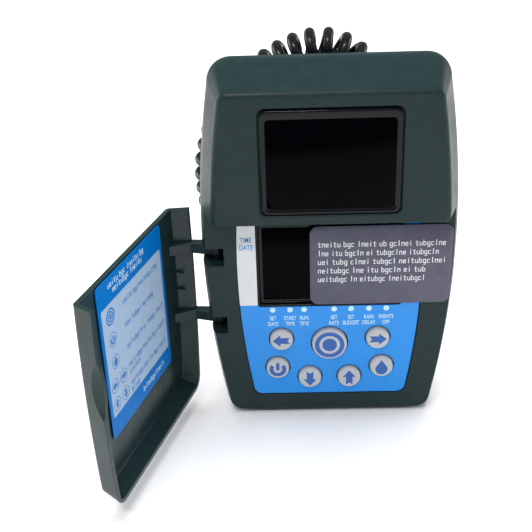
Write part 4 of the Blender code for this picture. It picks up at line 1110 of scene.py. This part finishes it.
def extruded_arm(floor):
    """One arm: from the fold of the cover's panel along the hinge wall to its boss on the pin."""
    wall = COVER.shift - half_width(COVER, SLOT_FLOORS[0])
    boss = 2.4
    points = [(wall + 7.9, COVER_INNER - 0.4), (PIVOT_X + boss, COVER_RIM + 0.6),
              (PIVOT_X + boss, PIVOT_Y)]
    for step in range(1, 17):
        angle = math.radians(180 * step / 16)
        points.append((PIVOT_X + boss * math.cos(angle), PIVOT_Y + boss * math.sin(angle)))
    points += [(PIVOT_X - 1.9, PIVOT_Y - 4.5), (PIVOT_X - 0.8, COVER_RIM - 0.2),
               (wall + 4.6, COVER_INNER - 0.4)]
    bm = bmesh.new()
    low = floor + (SLOT_HEIGHT - ARM_HEIGHT) / 2
    face = bm.faces.new([bm.verts.new(at(x, y, low)) for x, y in points])
    rest = bmesh.ops.extrude_face_region(bm, geom=[face])["geom"]
    bmesh.ops.translate(bm, vec=(0, 0, ARM_HEIGHT * MM),
                        verts=[g for g in rest if isinstance(g, bmesh.types.BMVert)])
    bmesh.ops.recalc_face_normals(bm, faces=bm.faces)
    rims = [e for e in bm.edges if abs(e.verts[0].co.z - e.verts[1].co.z) < 1e-7]
    bmesh.ops.bevel(bm, geom=rims, offset=0.35 * MM, segments=3, profile=0.5, affect="EDGES",
                    clamp_overlap=True, material=-1)
    return bm


def make_cover_shell(finish):
    sizes = bpy.context.scene.controller_sizes
    bm = loft([cover_ring(y) for y in (HOOD_FRONT, -6.5, -4.0, COVER_RIM)])
    round_rim(bm, HOOD_FRONT, sizes.cover_rounding / MM, 8)
    round_rim(bm, COVER_RIM, 0.3, 3)
    cut = bmesh.ops.bisect_plane(bm, geom=bm.verts[:] + bm.edges[:] + bm.faces[:],
                                 plane_co=at(0, 0, COVER_HIGH - 0.1), plane_no=(0, 0, 1),
                                 clear_outer=True)["geom_cut"]
    bmesh.ops.edgeloop_fill(bm, edges=[e for e in cut if isinstance(e, bmesh.types.BMEdge)])
    bmesh.ops.recalc_face_normals(bm, faces=bm.faces)
    hollow = loft([hollow_ring(y) for y in (COVER_INNER, -5.0, 0.5)])
    round_rim(hollow, COVER_INNER, 1.4, 6)
    grip_z = COVER_LOW + GRIP_HEIGHT
    free = COVER.shift + half_width(COVER, grip_z)
    centre = at(free + 2.6, COVER_RIM + 0.6, grip_z)
    hollow = carve(hollow, (CUT, ellipsoid(centre, (6.8, 8.8, 14.8))))
    bores = bmesh.new()
    for floor in SLOT_FLOORS:
        bmesh.ops.create_cone(bores, cap_ends=True, segments=40, radius1=1.3 * MM,
                              radius2=1.3 * MM, depth=(ARM_HEIGHT + 2.0) * MM,
                              matrix=Matrix.Translation(at(PIVOT_X, PIVOT_Y,
                                                           floor + SLOT_HEIGHT / 2)))
    arms = [(JOIN, extruded_arm(floor)) for floor in SLOT_FLOORS]
    bm = carve(bm, (CUT, hollow), *arms, (CUT, ellipsoid(centre, (5.0, 7.0, 13.0))),
               (CUT, bores))
    add_piece("cover_shell", swung(bm), finish["cover"], body="cover",
              replaces=("cover",), weighted=True)


def make_cover_details(finish):
    """Two ribs on the cover's hinge wall."""
    wall = COVER.shift - half_width(COVER, 40.0)
    bm = bmesh.new()
    for z in (51.0, 58.0):
        block(wall + 3.5, wall + 4.6, COVER_INNER - 0.1, COVER_RIM - 2.5, z, z + 0.3, bm)
    add_piece("cover_ribs", swung(bm), finish["cover"], body="cover")


def label_point(u, v, box):
    """A point on the cover's label: u from its free side to the hinge, v down from the top."""
    left, right, low, high = box
    return right - u * (right - left), high - v * (high - low)


def make_cover_label(finish):
    low, high = COVER_LABEL_LEFT, COVER_LABEL_RIGHT
    box = (low, high, COVER_LABEL_LOW, COVER_LABEL_HIGH)
    face = COVER_INNER + GAP + 0.25
    sheet = prism(rounded(low, high, box[2], box[3], 1.6), COVER_INNER + GAP, face)
    add_piece("cover_label_sheet", swung(sheet), finish["label"], body="cover",
              replaces=("cover_label",))
    near, top = ink(face, 1)
    x1, z1 = label_point(0.035, 0.155, box)
    x0, z0 = label_point(0.965, 0.865, box)
    field = prism(rounded(x0, x1, z0, z1, 0.8, 5), near, top)
    add_piece("cover_label_field", swung(field), finish["field"], body="cover")

    over, upper = top + 0.01, top + 0.04
    marks, words, pale = bmesh.new(), bmesh.new(), bmesh.new()
    for name, u, v in (("select", 0.15, 0.235), ("power", 0.15, 0.385), ("water", 0.15, 0.53),
                       ("left", 0.105, 0.675), ("right", 0.235, 0.675), ("up", 0.105, 0.80),
                       ("down", 0.235, 0.80)):
        x, z = label_point(u, v, box)
        if name == "select":
            ring_shape(marks, x, z, 2.45, 3.05, over, upper)
            ring_shape(marks, x, z, 1.35, 1.95, over, upper)
            disc(marks, x, z, 0.85, over, upper, 24)
        else:
            ring_shape(marks, x, z, 2.35, 2.6, over, upper)
            # the label is seen from behind the closed cover, so left and right change places
            shown = {"left": "right", "right": "left"}.get(name, name)
            symbol(shown, marks, x, z, over, upper, 0.55 if name != "power" else 0.5)
    rows = [(0.33, 0.235, (6, 11, 4)), (0.33, 0.385, (4, 6, 7)), (0.33, 0.53, (10, 1, 6, 5)),
            (0.33, 0.655, (4, 10, 2, 6)), (0.33, 0.705, (1, 5)), (0.33, 0.785, (11, 3, 8)),
            (0.33, 0.835, (5,))]
    for row, (u, v, letters) in enumerate(rows):
        x, z = label_point(u, v, box)
        mock_line(words, x, z - 0.8, letters, 1.45, 1.28, top, facing=1, start=row)
    for row, (u, letters, v) in enumerate(((0.16, (5, 3, 6, 2), 0.055), (0.22, (8, 6), 0.10),
                                           (0.5, (12,), 0.935))):
        x, z = label_point(u, v, box)
        mock_line(pale, x, z - 0.7, letters, 1.5, 1.55, face, facing=1, start=row + 4)
    add_piece("cover_label_symbols", swung(marks), finish["field_words"],
              body="cover")
    add_piece("cover_label_lines", swung(words), finish["field_words"],
              body="cover")
    add_piece("cover_label_header", swung(pale), finish["words"], body="cover")


def build_cover():
    finish = finishes()
    make_cover_shell(finish)
    make_cover_details(finish)
    make_cover_label(finish)
    for name, floor in zip(("lower", "upper"), SLOT_FLOORS):
        pin = bmesh.new()
        bmesh.ops.create_cone(pin, cap_ends=True, segments=40, radius1=1.0 * MM,
                              radius2=1.0 * MM, depth=(SLOT_HEIGHT + 3.4) * MM,
                              matrix=Matrix.Translation(at(PIVOT_X, PIVOT_Y,
                                                           floor + SLOT_HEIGHT / 2)))
        rims = [e for e in pin.edges if abs(e.verts[0].co.z - e.verts[1].co.z) < 1e-7]
        bmesh.ops.bevel(pin, geom=rims, offset=0.2 * MM, segments=3, profile=0.5,
                        affect="EDGES", clamp_overlap=True, material=-1)
        add_piece("pin_" + name, pin, finish["steel"],
                  replaces=("hinge_pin_" + name,))


# ---- solenoid ------------------------------------------------------------------------
def helical_ridge(radius, rise, y0, pitch, turns, steps=48):
    """A screw thread's ridge: a small tooth carried round the axis as it climbs."""
    bm = bmesh.new()
    corners = [(radius - 0.4, -pitch * 0.38), (radius + rise, -pitch * 0.06),
               (radius + rise, pitch * 0.06), (radius - 0.4, pitch * 0.38)]
    verts = [bm.verts.new((r * MM, (y0 + y - LEDGE_DEPTH) * MM, 0)) for r, y in corners]
    face = bm.faces.new(verts)
    bmesh.ops.spin(bm, geom=verts + face.edges[:] + [face], cent=(0, 0, 0), axis=(0, 1, 0),
                   dvec=(0, pitch * MM / steps, 0), angle=FULL_TURN * turns,
                   steps=int(steps * turns), use_merge=False)
    bmesh.ops.recalc_face_normals(bm, faces=bm.faces)
    return bm


def build_solenoid():
    finish = finishes()
    start = BACK + GAP
    end = start + 28.6
    r = SOLENOID_RADIUS
    body = [(0, start), (r - 0.8, start), (r - 0.25, start + 0.2), (r, start + 0.8),
            (r, start + 8.0), (r - 0.25, start + 8.4), (r - 0.8, start + 8.6),
            (r - 0.8, start + 10.4), (r - 0.25, start + 10.6), (r, start + 11.0),
            (r, end - 1.5), (r - 0.2, end - 0.8), (r - 0.7, end - 0.25), (r - 1.5, end), (0, end)]
    bm = turned(body, 96)
    # grip flutes round the outer half
    cutters = bmesh.new()
    for k in range(24):
        angle = FULL_TURN * (k + 0.5) / 24
        prism(circle((r + 0.75) * math.cos(angle), (r + 0.75) * math.sin(angle), 1.15, 16),
              start + 13.0, end + 1.0, cutters)
    bm = carve(bm, (CUT, cutters))
    add_piece("solenoid_can", moved(bm, 0, DOCK_HEIGHT), finish["solenoid"],
              replaces=("solenoid_body",), weighted=True)

    seat = end + GAP
    flange = seat + 3.2
    tip = flange + 8.5
    profile = [(0, seat), (13.6, seat), (14.0, seat + 0.4), (14.0, flange - 0.4), (13.6, flange),
               (9.6, flange), (9.6, tip - 0.6), (9.0, tip), (5.7, tip), (5.3, tip - 0.4),
               (5.3, seat + 1.8), (0, seat + 1.8)]
    adapter = turned(profile, 72)
    ridge = helical_ridge(9.6, 0.85, flange + 1.4, 1.7, 3.5)
    add_piece("adapter_core", moved(adapter, 0, DOCK_HEIGHT), finish["solenoid"],
              replaces=("valve_adapter",))
    add_piece("adapter_thread", moved(ridge, 0, DOCK_HEIGHT), finish["solenoid"])
    ring = [(12.0 + 1.2 * math.cos(math.radians(a)), flange + GAP + 1.2
             + 1.2 * math.sin(math.radians(a))) for a in range(0, 360, 20)]
    add_piece("seal_ring", moved(turned(ring, 72, closed=True), 0, DOCK_HEIGHT),
              finish["rubber"], replaces=("adapter_o_ring",))
    floor = seat + 1.8
    stem = floor + 2.6
    head = stem + 3.4
    profile = [(0, stem), (1.8, stem), (2.0, stem + 0.2), (2.0, head), (4.5, head),
               (4.7, head + 0.2), (4.7, tip + 2.4), (4.5, tip + 2.9), (3.9, tip + 3.2),
               (3.0, tip + 3.2), (2.8, tip + 2.9), (0, tip + 2.9)]
    add_piece("plunger_core", moved(turned(profile, 56), 0, DOCK_HEIGHT), finish["steel"],
              body="plunger", replaces=("plunger",))
    turns, steps = 4.5, 28
    low, high = floor + 0.7, head - 0.7
    points = []
    for step in range(int(turns * steps) + 1):
        t = step / (turns * steps)
        angle = FULL_TURN * turns * t
        points.append(at(3.4 * math.cos(angle), low + (high - low) * t,
                         DOCK_HEIGHT + 3.4 * math.sin(angle)))
    curve = tube_curve("return_spring_wire", points, 0.4 * MM, finish["steel"], 3)
    depsgraph = bpy.context.evaluated_depsgraph_get()
    bm = bmesh.new()
    wire = bpy.data.meshes.new_from_object(curve.evaluated_get(depsgraph))
    bm.from_mesh(wire)
    bpy.data.meshes.remove(wire)
    bpy.data.objects.remove(curve)
    bmesh.ops.remove_doubles(bm, verts=bm.verts, dist=1e-7)
    bmesh.ops.recalc_face_normals(bm, faces=bm.faces)
    spring = add_piece("return_spring", bm, finish["steel"],
                       replaces=("plunger_spring",), angle=60)
    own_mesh(spring)


# ---- operators, panel and registration -----------------------------------------------
class CONTROLLER_OT_stage(bpy.types.Operator):
    """Place the camera, the lights and the floor."""
    bl_idname = "controller.stage"
    bl_label = "Stage"

    def execute(self, context):
        build_stage()
        return {"FINISHED"}


class CONTROLLER_OT_lead(bpy.types.Operator):
    """Wind the curly lead from its gland to the solenoid."""
    bl_idname = "controller.lead"
    bl_label = "Curly lead"

    def execute(self, context):
        build_lead()
        return {"FINISHED"}


class CONTROLLER_OT_housing(bpy.types.Operator):
    """Build both housing shells and their screws."""
    bl_idname = "controller.housing"
    bl_label = "Housing"

    def execute(self, context):
        build_housing()
        return {"FINISHED"}


class CONTROLLER_OT_window(bpy.types.Operator):
    """Build the window over the solar cell."""
    bl_idname = "controller.window"
    bl_label = "Window"

    def execute(self, context):
        build_window()
        return {"FINISHED"}


class CONTROLLER_OT_display(bpy.types.Operator):
    """Build the display's frame and lens."""
    bl_idname = "controller.display"
    bl_label = "Display"

    def execute(self, context):
        build_display()
        return {"FINISHED"}


class CONTROLLER_OT_panel(bpy.types.Operator):
    """Print the panel and its words."""
    bl_idname = "controller.panel"
    bl_label = "Panel"

    def execute(self, context):
        build_panel()
        return {"FINISHED"}


class CONTROLLER_OT_buttons(bpy.types.Operator):
    """Build the push buttons and their symbols."""
    bl_idname = "controller.buttons"
    bl_label = "Buttons"

    def execute(self, context):
        build_buttons()
        return {"FINISHED"}


class CONTROLLER_OT_notice(bpy.types.Operator):
    """Lay the grey film over the display."""
    bl_idname = "controller.notice"
    bl_label = "Notice"

    def execute(self, context):
        build_notice()
        return {"FINISHED"}


class CONTROLLER_OT_cover(bpy.types.Operator):
    """Build the hinged cover, its arms and its label."""
    bl_idname = "controller.cover"
    bl_label = "Cover"

    def execute(self, context):
        build_cover()
        return {"FINISHED"}


class CONTROLLER_OT_solenoid(bpy.types.Operator):
    """Build the solenoid, its thread and its plunger."""
    bl_idname = "controller.solenoid"
    bl_label = "Solenoid"

    def execute(self, context):
        build_solenoid()
        return {"FINISHED"}


OPERATORS = [CONTROLLER_OT_stage, CONTROLLER_OT_lead, CONTROLLER_OT_housing,
             CONTROLLER_OT_window, CONTROLLER_OT_display, CONTROLLER_OT_panel,
             CONTROLLER_OT_buttons, CONTROLLER_OT_notice, CONTROLLER_OT_cover,
             CONTROLLER_OT_solenoid]


class CONTROLLER_PT_build(bpy.types.Panel):
    """Lists the building steps and the sizes and colours they use."""
    bl_label = "Irrigation controller"
    bl_idname = "CONTROLLER_PT_build"
    bl_space_type = "VIEW_3D"
    bl_region_type = "UI"
    bl_category = "Controller"

    def draw(self, context):
        for settings in (context.scene.controller_sizes, context.scene.controller_colours):
            for name in settings.__annotations__:
                self.layout.prop(settings, name)
        for kind in OPERATORS:
            self.layout.operator(kind.bl_idname)


CLASSES = [ControllerSizes, ControllerColours, *OPERATORS, CONTROLLER_PT_build]


def register():
    for kind in CLASSES:
        bpy.utils.register_class(kind)
    bpy.types.Scene.controller_sizes = bpy.props.PointerProperty(type=ControllerSizes)
    bpy.types.Scene.controller_colours = bpy.props.PointerProperty(type=ControllerColours)


def unregister():
    del bpy.types.Scene.controller_colours
    del bpy.types.Scene.controller_sizes
    for kind in reversed(CLASSES):
        bpy.utils.unregister_class(kind)


def main():
    register()
    for kind in OPERATORS:
        getattr(bpy.ops.controller, kind.bl_idname.split(".")[1])()


if __name__ == "__main__":
    main()
